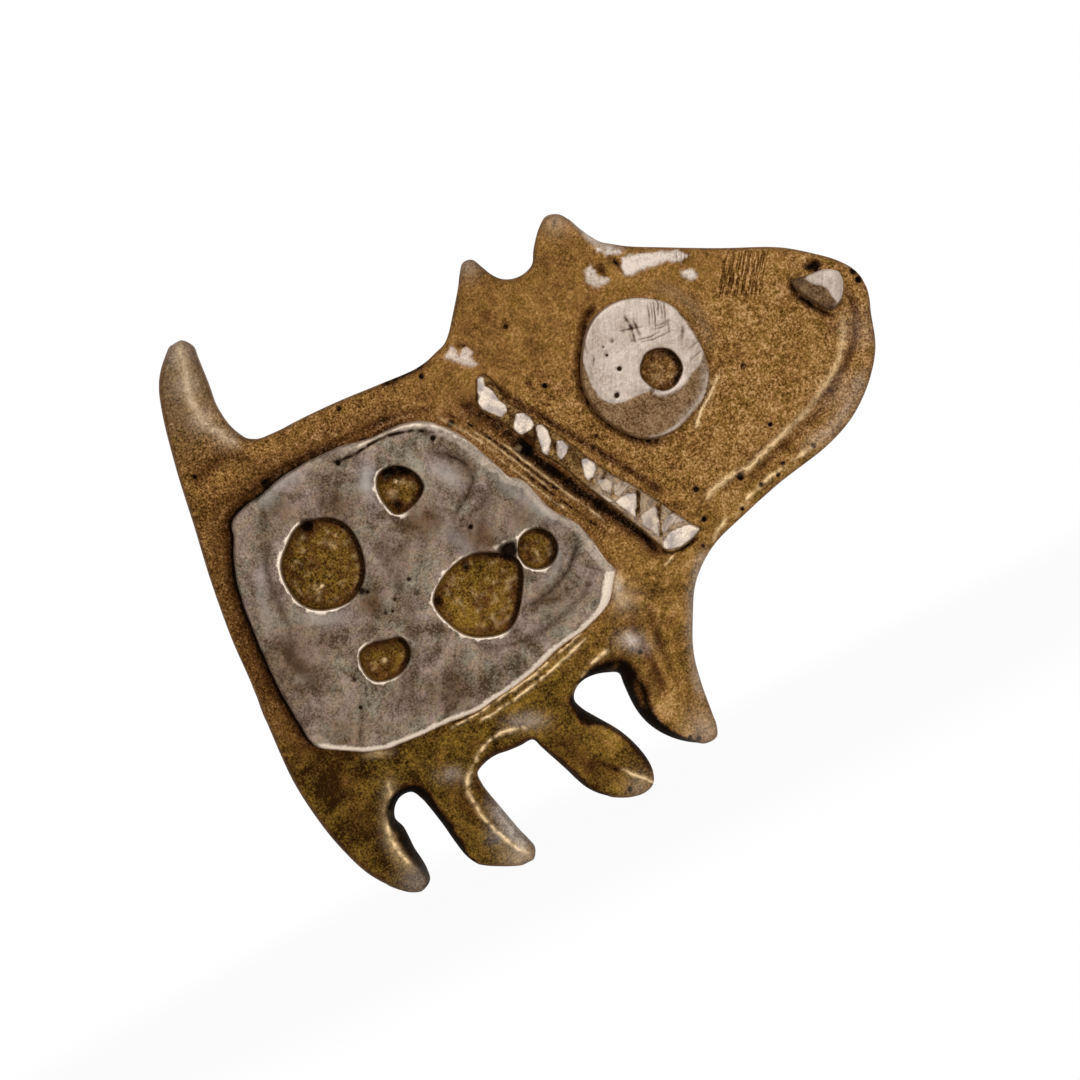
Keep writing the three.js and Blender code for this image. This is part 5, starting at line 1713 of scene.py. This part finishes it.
class Nodes:
    """The node tree of a material or the world, emptied, with one method that adds any node to it."""

    def __init__(self, owner):
        owner.use_nodes = True
        self.tree = owner.node_tree
        self.tree.nodes.clear()

    def add(self, kind, settings=None, inputs=(), output=0):
        """Adds a node, sets its settings, and gives each input its value or link, by index or by name."""
        node = self.tree.nodes.new(kind)
        for key, value in (settings or {}).items():
            setattr(node, key, value)
        pairs = inputs.items() if isinstance(inputs, dict) else enumerate(inputs)
        for key, value in pairs:
            if isinstance(value, Wire):
                self.tree.links.new(value.socket, node.inputs[key])
            else:
                node.inputs[key].default_value = value
        return Wire(self, node.outputs[output]) if node.outputs else node

    def mix(self, share, first, second):
        """A colour between two, each a value of the material or three plain numbers."""
        first, second = (end if isinstance(end, Wire) else opaque(end) for end in (first, second))
        return self.add("ShaderNodeMix", {"data_type": "RGBA"}, {0: share, 6: first, 7: second}, output=2)

    def attributes(self, *names):
        return [self.add("ShaderNodeAttribute", {"attribute_name": name}, output=2) for name in names]

    def place(self):
        return self.add("ShaderNodeTexCoord", output=3)

    def region(self, place, ahead=None, up=None):
        """The share of each place that lies in a part of the dog: it grows from the first to the second of
        each pair of distances."""
        axes = [(axis, ends) for axis, ends in ((0, ahead), (2, up)) if ends]
        along = [self.add("ShaderNodeSeparateXYZ", {}, [place], output=axis) for axis, _ in axes]
        return math.prod(at.between(low * MM, high * MM) for at, (_, (low, high)) in zip(along, axes))

    def light_path(self):
        """1 for rays that see or mirror what surrounds the object, 0 for those that light it."""
        rays = ("Is Camera Ray", "Is Glossy Ray", "Is Transmission Ray")
        first, second, third = (self.add("ShaderNodeLightPath", output=ray) for ray in rays)
        return (first + second + third).clamped()

    def noise(self, place, size, detail=2.0, roughness=0.5, swirl=0.0):
        """Noise whose features are about the given size in millimetres, from 0 to 1 around a half."""
        values = {"Vector": place, "Scale": 1 / (size * MM), "Detail": detail, "Roughness": roughness,
                  "Distortion": swirl}
        return self.add("ShaderNodeTexNoise", {}, values)

    def grain(self, place, contrast):
        """The fine speckle of cast and etched metal, over soft blotches of about half a millimetre."""
        fine = self.noise(place, 0.15, detail=1, roughness=0.8)
        soft = self.noise(place, 0.45, detail=2, roughness=0.6)
        return (0.5 + contrast * (1.15 * (fine - 0.5) + 0.45 * (soft - 0.5))).clamped()

    def drawn_out(self, place, stretch, turn=0.0):
        """The place turned about the front-to-back axis, and then shrunk along each axis by the stretch, so
        that a pattern is drawn out as much."""
        values = {"Vector": place, "Scale": stretch, "Rotation": (0, turn, 0)}
        return self.add("ShaderNodeMapping", {"vector_type": "TEXTURE"}, values)

    def bump(self, height, depth):
        """A normal bent by a height from 0 to 1 that stands for the given depth in millimetres."""
        inputs = {"Strength": 1.0, "Distance": depth * MM, "Height": height}
        return self.add("ShaderNodeBump", {}, inputs)

    def finish(self, colour, metallic, roughness, normal, gloss=0.5):
        values = {"Base Color": colour, "Metallic": metallic, "Roughness": roughness, "Normal": normal,
                  "Specular IOR Level": gloss}
        shader = self.add("ShaderNodeBsdfPrincipled", {}, values)
        self.add("ShaderNodeOutputMaterial", {}, {"Surface": shader})


def new_finish(name):
    material = bpy.data.materials.new(name)
    return material, Nodes(material)


def cast_brass(settings):
    """Cast brass with a brown patina: speckled, least above the eye, cloudy on the legs, olive in places, towards
    the hind feet and in the windows, reddish and then black in the hollows and where shade is painted on walls,
    creases and the moat, golden where it is worn and where highlights are painted, and silvery where it is worn
    through and where sheens are painted."""
    material, nodes = new_finish("cast_brass")
    place = nodes.place()
    cloud = nodes.noise(place, 2.4, detail=4, roughness=0.65, swirl=0.8)
    hue = nodes.noise(place, 0.9, detail=4, roughness=0.7, swirl=0.6)
    dark, shine, bare, filed, floor = nodes.attributes("dark", "shine", "bare", "filed", "floor")
    regions = (HIND_FEET, TAIL, BROW_AND_NAPE, RUMP, MUZZLE, LEGS, TIPS)
    feet, tail, nape, rump, muzzle, legs, tips = (nodes.region(place, **region) for region in regions)
    combed = nodes.drawn_out(place, (1, 1, 12), TILT + math.radians(10))
    marks = nodes.noise(combed, 0.13, detail=1, roughness=0.5)
    marks = filed * (marks.between(0.38, 0.62) - 0.5)
    mottle = nodes.grain(place, 1.8 - 0.7 * nape - 0.5 * legs - 0.6 * tail - 0.2 * floor)
    tone = 0.50 + 0.85 * (mottle - 0.5) + (0.7 + 0.9 * legs) * (cloud - 0.5) + 0.55 * marks - 0.08 * filed
    tone = tone - 0.03 * floor + 0.05 * muzzle - 0.16 * feet - 0.13 * rump - 0.05 * tips
    tone = tone.clamped() ** 1.4
    base = nodes.mix(tone, settings.patina, settings.brass)
    greyed = nodes.mix(tone, srgb(74, 52, 28), srgb(198, 160, 114))
    olive = nodes.mix(tone, srgb(40, 20, 0), srgb(194, 150, 56))
    base = nodes.mix(tail, base, greyed)
    greened = (feet + floor + 0.3 * legs + 0.5 * hue.between(0.49, 0.38)).clamped() * 0.95
    base = nodes.mix(greened, base, olive)
    # Reddish and then black where the dark share is high: patina in the hollows, and painted shade on the sloping
    # walls, the creases and the moat.
    reddish = nodes.mix(tone, settings.hollow, srgb(162, 108, 58))
    base = nodes.mix((dark * 1.8 + 0.4 * hue.between(0.52, 0.64)).clamped(), base, reddish)
    flecks = (0.45 - 0.35 * (feet + floor) - 0.15 * legs).clamped() * tone.between(0.5, 1.0)
    base = nodes.mix(flecks, base, srgb(222, 190, 156))
    base = nodes.mix((dark - 0.25 * mottle).between(0.30, 0.85), base, srgb(22, 11, 3))
    # Golden where the brass is rubbed and where highlights are painted.
    rubbed_and_highlight = (shine * (0.60 + mottle)).clamped()
    base = nodes.mix(rubbed_and_highlight, base, settings.gold)
    # Silvery where the brass is worn through and where sheens are painted.
    silvery = (bare * (0.45 + mottle)).clamped()
    base = nodes.mix(silvery, base, settings.bright)
    metallic = (0.45 + 0.25 * rubbed_and_highlight + 0.20 * silvery - 0.30 * dark).clamped()
    roughness = (0.50 - 0.14 * rubbed_and_highlight - 0.10 * silvery + 0.45 * dark).clamped()
    relief = mottle * (1 - 0.6 * silvery) + 0.8 * marks
    nodes.finish(base, metallic, roughness, nodes.bump(relief, depth=0.035), gloss=0.06)
    return material


def saddle_silver(settings):
    """Satin silver gone grey: cloudy between warm, lilac and greenish greys, with soft brown stains, fine drawn
    lines, dark pits and seams, and bright lips that are partly worn and partly painted highlights."""
    material, nodes = new_finish("saddle_silver")
    place = nodes.place()
    combed = nodes.drawn_out(place, (1, 1, 4), math.radians(40))
    lines = nodes.noise(combed, 0.8, detail=2, roughness=0.5, swirl=1.5)
    cloud = nodes.noise(place, 3.0, detail=2, roughness=0.5, swirl=1.5)
    hue = nodes.noise(place, 1.8, detail=2, roughness=0.5, swirl=1.0)
    dark, shine, bare, stain = nodes.attributes("dark", "shine", "bare", "stain")
    mottle = nodes.grain(place, 2.2)
    tone = (0.6 * mottle + 1.5 * cloud + 0.6 * lines - 0.90).clamped()
    base = nodes.mix(tone, srgb(74, 55, 36), settings.silver)
    lilac = nodes.mix(tone, srgb(88, 70, 60), srgb(188, 164, 158))
    base = nodes.mix(hue.between(0.46, 0.60) * 0.6, base, lilac)
    teal = nodes.mix(tone, srgb(70, 62, 48), srgb(172, 167, 150))
    base = nodes.mix(hue.between(0.48, 0.38) * 0.6, base, teal)
    browned = (stain * (0.55 + 0.9 * mottle) + 0.2 * cloud.between(0.48, 0.36)).clamped()
    brown = nodes.mix(tone, settings.stain, srgb(146, 112, 78))
    base = nodes.mix(browned * 0.9, base, brown)
    base = nodes.mix(shine.clamped(), base, srgb(196, 186, 178))
    deep = nodes.mix(dark.between(0.40, 0.9), srgb(88, 66, 50), srgb(38, 22, 8))
    base = nodes.mix((dark * (1.25 - 0.3 * mottle)).clamped(), base, deep)
    # The bright lips, partly rubbed and partly painted highlights.
    base = nodes.mix((bare * (0.85 + 0.4 * mottle)).clamped(), base, settings.lip)
    metallic = (0.42 + 0.3 * bare).clamped()
    roughness = (0.44 + 0.12 * browned + 0.2 * dark - 0.12 * bare).clamped()
    nodes.finish(base, metallic, roughness, nodes.bump(mottle * 0.6 + lines * 0.4, depth=0.03), gloss=0.15)
    return material


def filed_silver(settings):
    """Bright filed silver of the eye and the nose: near white with faint file lines on the flat face, and a brown
    like the brass on the facets that fall away. The eye's rim takes the same near white where a highlight is
    painted on it."""
    material, nodes = new_finish("filed_silver")
    place = nodes.place()
    lines = nodes.noise(nodes.drawn_out(place, (1, 1, 9), TILT), 0.16, detail=2, roughness=0.6)
    cloud = nodes.noise(place, 1.8, detail=3, roughness=0.55)
    dark, bare = nodes.attributes("dark", "bare")
    mottle = nodes.grain(place, 2.0)
    tone = (0.25 * lines.between(0.34, 0.66) + 0.40 * cloud.between(0.34, 0.66) + 0.35 * mottle).clamped()
    flat = nodes.mix(tone, srgb(160, 140, 122), settings.bright)
    tone = (1.0 * mottle + 1.4 * cloud - 0.72).clamped()
    facet = nodes.mix(tone, srgb(90, 54, 12), srgb(182, 146, 104))
    base = nodes.mix(bare, facet, flat)
    base = nodes.mix((dark * 1.05).clamped(), base, srgb(52, 34, 20))
    metallic = (0.42 + 0.25 * bare).clamped()
    roughness = (0.46 - 0.14 * bare + 0.2 * dark).clamped()
    nodes.finish(base, metallic, roughness, nodes.bump(lines * 0.5 + mottle * 0.5, depth=0.02), gloss=0.3)
    return material


def chiselled_silver(settings):
    """The collar's silver: bright on the teeth, as brown as the brass between them and dark in the cuts."""
    material, nodes = new_finish("chiselled_silver")
    place = nodes.place()
    cloud = nodes.noise(place, 0.8, detail=2, roughness=0.5)
    dark, bare = nodes.attributes("dark", "bare")
    mottle = nodes.grain(place, 2.8)
    between = nodes.mix(mottle, srgb(70, 40, 4), srgb(186, 146, 90))
    bright = nodes.mix(cloud.between(0.34, 0.66), srgb(186, 172, 164), settings.lip)
    base = nodes.mix((dark * 1.25).clamped(), between, settings.hollow)
    base = nodes.mix(bare.between(0.0, 1.0), base, bright)
    metallic = (0.42 + 0.28 * bare).clamped()
    roughness = (0.48 - 0.16 * bare).clamped()
    nodes.finish(base, metallic, roughness, nodes.bump(mottle, depth=0.03), gloss=0.1)
    return material


def findings_brass(settings):
    """Drawn and turned brass, lightly tarnished: fine lines around it and darker clouds."""
    material, nodes = new_finish("findings_brass")
    place = nodes.place()
    cloud = nodes.noise(place, 1.1, detail=3, roughness=0.55)
    grain = nodes.noise(place, 0.16, detail=3, roughness=0.6)
    lines = nodes.noise(nodes.drawn_out(place, (1, 9, 9)), 0.12, detail=2, roughness=0.5)
    tone = (0.5 * cloud.between(0.35, 0.65) + 0.2 * grain + 0.3 * lines.between(0.35, 0.65)).clamped()
    base = nodes.mix(tone, srgb(132, 98, 48), settings.findings)
    base = nodes.mix(cloud.between(0.58, 0.74) * 0.6, base, srgb(92, 64, 32))
    roughness = 0.28 + 0.20 * cloud
    nodes.finish(base, 0.85, roughness, nodes.bump(lines * 0.6 + grain * 0.4, depth=0.012))
    return material


def pin_steel(settings):
    """Drawn and polished steel, with faint lines along the wire and a few dull places."""
    material, nodes = new_finish("pin_steel")
    place = nodes.place()
    cloud = nodes.noise(place, 2.0, detail=3, roughness=0.5)
    lines = nodes.noise(nodes.drawn_out(place, (20, 1, 1)), 0.14, detail=3, roughness=0.6)
    tone = (0.5 * cloud.between(0.35, 0.65) + 0.5 * lines.between(0.3, 0.7)).clamped()
    base = nodes.mix(tone, srgb(140, 136, 130), settings.steel)
    roughness = 0.20 + 0.16 * cloud
    nodes.finish(base, 0.92, roughness, nodes.bump(lines, depth=0.006))
    return material


def add_lamp(name, place, target, side, power):
    """A square soft lamp that looks from its place to its target, in metres."""
    lamp = bpy.data.lights.new(name, "AREA")
    lamp.shape = "SQUARE"
    lamp.size = side
    lamp.energy = power
    fixture = bpy.data.objects.new(name, lamp)
    bpy.context.scene.collection.objects.link(fixture)
    fixture.location = place
    fixture.rotation_euler = (Vector(target) - Vector(place)).to_track_quat("-Z", "Y").to_euler()


class BroochSettings(bpy.types.PropertyGroup):
    """Sizes and colours of the brooch's look."""

    spacing: bpy.props.FloatProperty(
        name="Surface spacing", description="Distance between the points of the cast surface",
        default=0.12 * MM, min=0.08 * MM, unit="LENGTH", precision=5)
    brass: bpy.props.FloatVectorProperty(
        name="Brass", description="Colour of the cast brass where its patina is thin",
        subtype="COLOR", default=srgb(224, 166, 92))
    patina: bpy.props.FloatVectorProperty(
        name="Patina", description="Brown of the patina over most of the casting",
        subtype="COLOR", default=srgb(66, 36, 0))
    # The hollows' brown also stands for the painted shade on the steep walls.
    hollow: bpy.props.FloatVectorProperty(
        name="Hollows", description="Dark brown of the grooves, pits and steep walls",
        subtype="COLOR", default=srgb(66, 36, 6))
    # The rubbed brass colour is also that of the painted highlights on ridges, crests and glints.
    gold: bpy.props.FloatVectorProperty(
        name="Rubbed brass", description="Golden colour of the rubbed ridges",
        subtype="COLOR", default=srgb(248, 212, 158))
    silver: bpy.props.FloatVectorProperty(
        name="Silver", description="Grey of the saddle's satin silver",
        subtype="COLOR", default=srgb(190, 164, 138))
    # Bright silver is also the colour of the painted sheens on the casting and the painted highlights on the eye's
    # rim.
    bright: bpy.props.FloatVectorProperty(
        name="Bright silver", description="Colour of bare silver on the eye, the nose and the brow",
        subtype="COLOR", default=srgb(222, 206, 192))
    # The lips' colour is also that of the painted highlights on the saddle's edges and window lips.
    lip: bpy.props.FloatVectorProperty(
        name="Bright lips", description="Colour of the brightest silver, on the teeth and around the windows",
        subtype="COLOR", default=srgb(246, 226, 204))
    stain: bpy.props.FloatVectorProperty(
        name="Stain", description="Brown of the soft stains on the saddle",
        subtype="COLOR", default=srgb(84, 58, 34))
    findings: bpy.props.FloatVectorProperty(
        name="Findings", description="Colour of the hinge's and the catch's brass",
        subtype="COLOR", default=srgb(200, 166, 104))
    steel: bpy.props.FloatVectorProperty(
        name="Steel", description="Colour of the pin's steel",
        subtype="COLOR", default=srgb(206, 204, 200))
    key_power: bpy.props.FloatProperty(
        name="Main lamp", description="Power of the soft lamp on the picture's right",
        default=0.85, min=0.0, unit="POWER")
    fill_power: bpy.props.FloatProperty(
        name="Fill lamp", description="Power of the soft lamp behind the camera",
        default=0.28, min=0.0, unit="POWER")
    surround: bpy.props.FloatProperty(
        name="Surround", description="How much plain light comes from all round, where 1 is white",
        default=0.36, min=0.0, max=1.0, subtype="FACTOR")
    lens: bpy.props.FloatProperty(
        name="Lens", description="Focal length of the camera's lens in millimetres",
        default=180.0, min=50.0, unit="CAMERA")


class BROOCH_OT_stage(bpy.types.Operator):
    """Adds the camera of the photograph, the white surround, the floor and two soft lamps"""

    bl_idname = "brooch.stage"
    bl_label = "Stage"

    def execute(self, context):
        settings = context.scene.brooch
        right = np.array([math.cos(TILT), 0.0, -math.sin(TILT)])
        up = np.array([math.sin(TILT), 0.0, math.cos(TILT)])
        front = np.array([0.0, -1.0, 0.0])
        middle_x, middle_z = on_dog((PHOTO_WIDTH / 2, PHOTO_WIDTH / 2))[0] * MM
        aim = np.array([middle_x, -AIM_DEPTH * MM, middle_z])

        camera = bpy.data.cameras.new("camera")
        camera.lens = settings.lens
        camera.sensor_width = SENSOR_WIDTH
        camera.clip_start = 0.01
        distance = PHOTO_WIDTH * PIXEL * MM * settings.lens / SENSOR_WIDTH
        holder = bpy.data.objects.new("camera", camera)
        context.scene.collection.objects.link(holder)
        place = aim + front * distance
        sides = np.array([right, up, front])
        rows = [(*directions, at) for directions, at in zip(sides.T, place)]
        holder.matrix_world = Matrix([*rows, (0, 0, 0, 1)])
        context.scene.camera = holder

        add_lamp("key_lamp", aim + KEY_PLACE @ sides, aim, KEY_SIDE, settings.key_power)
        add_lamp("fill_lamp", aim + FILL_PLACE @ sides, aim, FILL_SIDE, settings.fill_power)
        self.make_surround(context.scene, settings)
        self.make_floor(context.scene)
        context.scene.view_settings.view_transform = "Standard"
        return {"FINISHED"}

    def make_surround(self, scene, settings):
        """The world is white to the camera and in reflections, and a plain weaker light otherwise."""
        world = bpy.data.worlds.new("surround")
        scene.world = world
        nodes = Nodes(world)
        plain = nodes.add("ShaderNodeBackground", {}, [opaque(WHITE), settings.surround])
        white = nodes.add("ShaderNodeBackground", {}, [opaque(WHITE), 1.0])
        mixed = nodes.add("ShaderNodeMixShader", {}, [nodes.light_path(), plain, white])
        nodes.add("ShaderNodeOutputWorld", {}, {"Surface": mixed})

    def make_floor(self, scene):
        """A round pale floor at the dog's feet. What is seen or mirrored of it is white, apart from a small
        share of its lit surface near the dog, which keeps the object's shadow."""
        low = CAD_BOX[0][2] / MM
        rim = circle(FLOOR_RADIUS, 72)
        vertices = np.column_stack([rim, np.full(len(rim), low - FLOOR_GAP)])
        mesh = build_mesh("floor", vertices, [np.arange(len(rim))[None, :]], [False])
        material, nodes = new_finish("pale_floor")
        centre = nodes.add("ShaderNodeVectorMath", {"operation": "LENGTH"}, [nodes.place()], output=1)
        far = 1 - SHADOW_SHARE + SHADOW_SHARE * centre.between(*(end * MM for end in SHADOW_FADE))
        lit = nodes.add("ShaderNodeBsdfDiffuse", {}, [opaque(FLOOR_GREY)])
        white = nodes.add("ShaderNodeEmission", {}, [opaque(WHITE), 1.0])
        mixed = nodes.add("ShaderNodeMixShader", {}, [nodes.light_path() * far, lit, white])
        nodes.add("ShaderNodeOutputMaterial", {}, {"Surface": mixed})
        mesh.materials.append(material)
        floor = bpy.data.objects.new("floor", mesh)
        scene.collection.objects.link(floor)


# How the walls of the casting and of the overlays run from the front's edge to the back: the share of the
# height that is left, and how far the wall draws in.
CASTING_WALL = [(0.70, 0.0), (0.40, 0.0), (0.10, 0.0), (0.03, 0.04), (0.0, 0.12)]
OVERLAY_WALL = [(0.5, 0.0), (0.06, 0.0), (0.0, 0.04)]
# How far inside the edges of the casting and of the overlays their rings of points lie.
EDGE_RINGS = (0.03, 0.08, 0.15, 0.24, 0.35)
HOLE_RINGS = (0.03, 0.07, 0.12, 0.18, 0.25)
# How far outward from the edges of the seats and of the windows the casting's other rings of points lie.
SEAT_STEPS = (-0.03, 0.0, 0.06, 0.15)
WINDOW_STEPS = (0.0, -0.03, -0.08, -0.18, -0.32)
# How deep under the saddle the casting is hidden, and how far it still shows around the windows.
HIDDEN_DEPTH = 0.3
WINDOW_SIGHT = 0.15
# The distance between the points of the smaller silver pieces.
EYE_SPACING = 0.085
NOSE_SPACING = 0.06
COLLAR_SPACING = 0.065


def under_saddle(points):
    """True where the casting is hidden under the saddle, so that a coarse honeycomb is enough there."""
    hidden = depth_inside(points, SADDLE) > HIDDEN_DEPTH
    for window in WINDOWS:
        hidden &= depth_inside(points, window) < -WINDOW_SIGHT
    return hidden


class BROOCH_OT_casting(bpy.types.Operator):
    """Builds the cast dog with its walls, grooves, seats and flat back"""

    bl_idname = "brooch.casting"
    bl_label = "Casting"

    def execute(self, context):
        settings = context.scene.brooch
        guides = [(overlay, SEAT_STEPS) for overlay in OVERLAYS]
        guides += [(window, WINDOW_STEPS) for window in (*WINDOWS, PUPIL)]
        strokes = [*CASTING_STROKES, *BROW_CREASES]
        detail = detail_points(strokes, [*CASTING_SPOTS, *FLOOR_SPOTS], BARE_PATCHES)
        mesh = plate("dog_body", [OUTLINE], casting_relief, BACK, CASTING_WALL, settings.spacing / MM,
                     EDGE_RINGS, guides, detail, under_saddle, {"filed": filed_at, "floor": in_windows})
        add_piece(mesh, cast_brass(settings), "dog_casting")
        return {"FINISHED"}


class BROOCH_OT_saddle(bpy.types.Operator):
    """Builds the silver saddle with its five windows"""

    bl_idname = "brooch.saddle"
    bl_label = "Saddle"

    def execute(self, context):
        settings = context.scene.brooch
        mesh = plate("saddle", [SADDLE, *WINDOWS], saddle_relief, SEAT, OVERLAY_WALL, settings.spacing / MM,
                     HOLE_RINGS, detail=detail_points(SADDLE_STROKES, SADDLE_SPOTS),
                     extra={"stain": stains_at})
        add_piece(mesh, saddle_silver(settings), "saddle_plate")
        return {"FINISHED"}


class BROOCH_OT_face(bpy.types.Operator):
    """Builds the silver eye and the silver nose"""

    bl_idname = "brooch.face"
    bl_label = "Eye and nose"

    def execute(self, context):
        material = filed_silver(context.scene.brooch)
        detail = detail_points(EYE_SCRATCHES, EYE_SPOTS, [Patch(EYE_FLAT)])
        eye = plate("eye", [EYE, PUPIL], eye_relief, SEAT, OVERLAY_WALL, EYE_SPACING, HOLE_RINGS,
                    detail=detail)
        add_piece(eye, material, "eye_disc")
        detail = detail_points(patches=[Patch(NOSE_BRIGHT)])
        nose = plate("nose", [NOSE], nose_relief, SEAT, OVERLAY_WALL, NOSE_SPACING, HOLE_RINGS, detail=detail)
        add_piece(nose, material, "nose_tip")
        return {"FINISHED"}


class BROOCH_OT_collar(bpy.types.Operator):
    """Builds the chiselled collar"""

    bl_idname = "brooch.collar"
    bl_label = "Collar"

    def execute(self, context):
        detail = detail_points(COLLAR_CUTS, patches=TEETH)
        mesh = plate("collar", [COLLAR], collar_relief, SEAT, OVERLAY_WALL, COLLAR_SPACING, HOLE_RINGS,
                     detail=detail)
        add_piece(mesh, chiselled_silver(context.scene.brooch), "collar_band")
        return {"FINISHED"}


class BROOCH_OT_pin(bpy.types.Operator):
    """Builds the hinge, its rivet and the pin on the back"""

    bl_idname = "brooch.pin"
    bl_label = "Hinge and pin"

    def execute(self, context):
        settings = context.scene.brooch
        brass = findings_brass(settings)
        add_piece(hinge_mesh(), brass, "hinge_base")
        add_piece(rivet_mesh(), brass, "hinge_rivet")
        add_piece(pin_mesh(), pin_steel(settings), "pin_stem")
        return {"FINISHED"}


class BROOCH_OT_catch(bpy.types.Operator):
    """Builds the catch's tube and the rotor that turns in it"""

    bl_idname = "brooch.catch"
    bl_label = "Catch"

    def execute(self, context):
        brass = bpy.data.materials.get("findings_brass") or findings_brass(context.scene.brooch)
        add_piece(catch_mesh(), brass, "catch_housing")
        add_piece(rotor_mesh(), brass, "catch_rotor")
        return {"FINISHED"}


OPERATORS = (
    BROOCH_OT_stage,
    BROOCH_OT_casting,
    BROOCH_OT_saddle,
    BROOCH_OT_face,
    BROOCH_OT_collar,
    BROOCH_OT_pin,
    BROOCH_OT_catch,
)


class BROOCH_PT_panel(bpy.types.Panel):
    """Lists the brooch's settings and the steps that build it"""

    bl_idname = "BROOCH_PT_panel"
    bl_label = "Dog brooch"
    bl_space_type = "VIEW_3D"
    bl_region_type = "UI"
    bl_category = "Brooch"

    def draw(self, context):
        for name in BroochSettings.__annotations__:
            self.layout.prop(context.scene.brooch, name)
        for operator in OPERATORS:
            self.layout.operator(operator.bl_idname)


CLASSES = (BroochSettings, *OPERATORS, BROOCH_PT_panel)


def register():
    for cls in CLASSES:
        bpy.utils.register_class(cls)
    bpy.types.Scene.brooch = bpy.props.PointerProperty(type=BroochSettings)


def unregister():
    del bpy.types.Scene.brooch
    for cls in reversed(CLASSES):
        bpy.utils.unregister_class(cls)


def main():
    register()
    bpy.ops.brooch.stage()
    bpy.ops.brooch.casting()
    bpy.ops.brooch.saddle()
    bpy.ops.brooch.face()
    bpy.ops.brooch.collar()
    bpy.ops.brooch.pin()
    bpy.ops.brooch.catch()


if __name__ == "__main__":
    main()
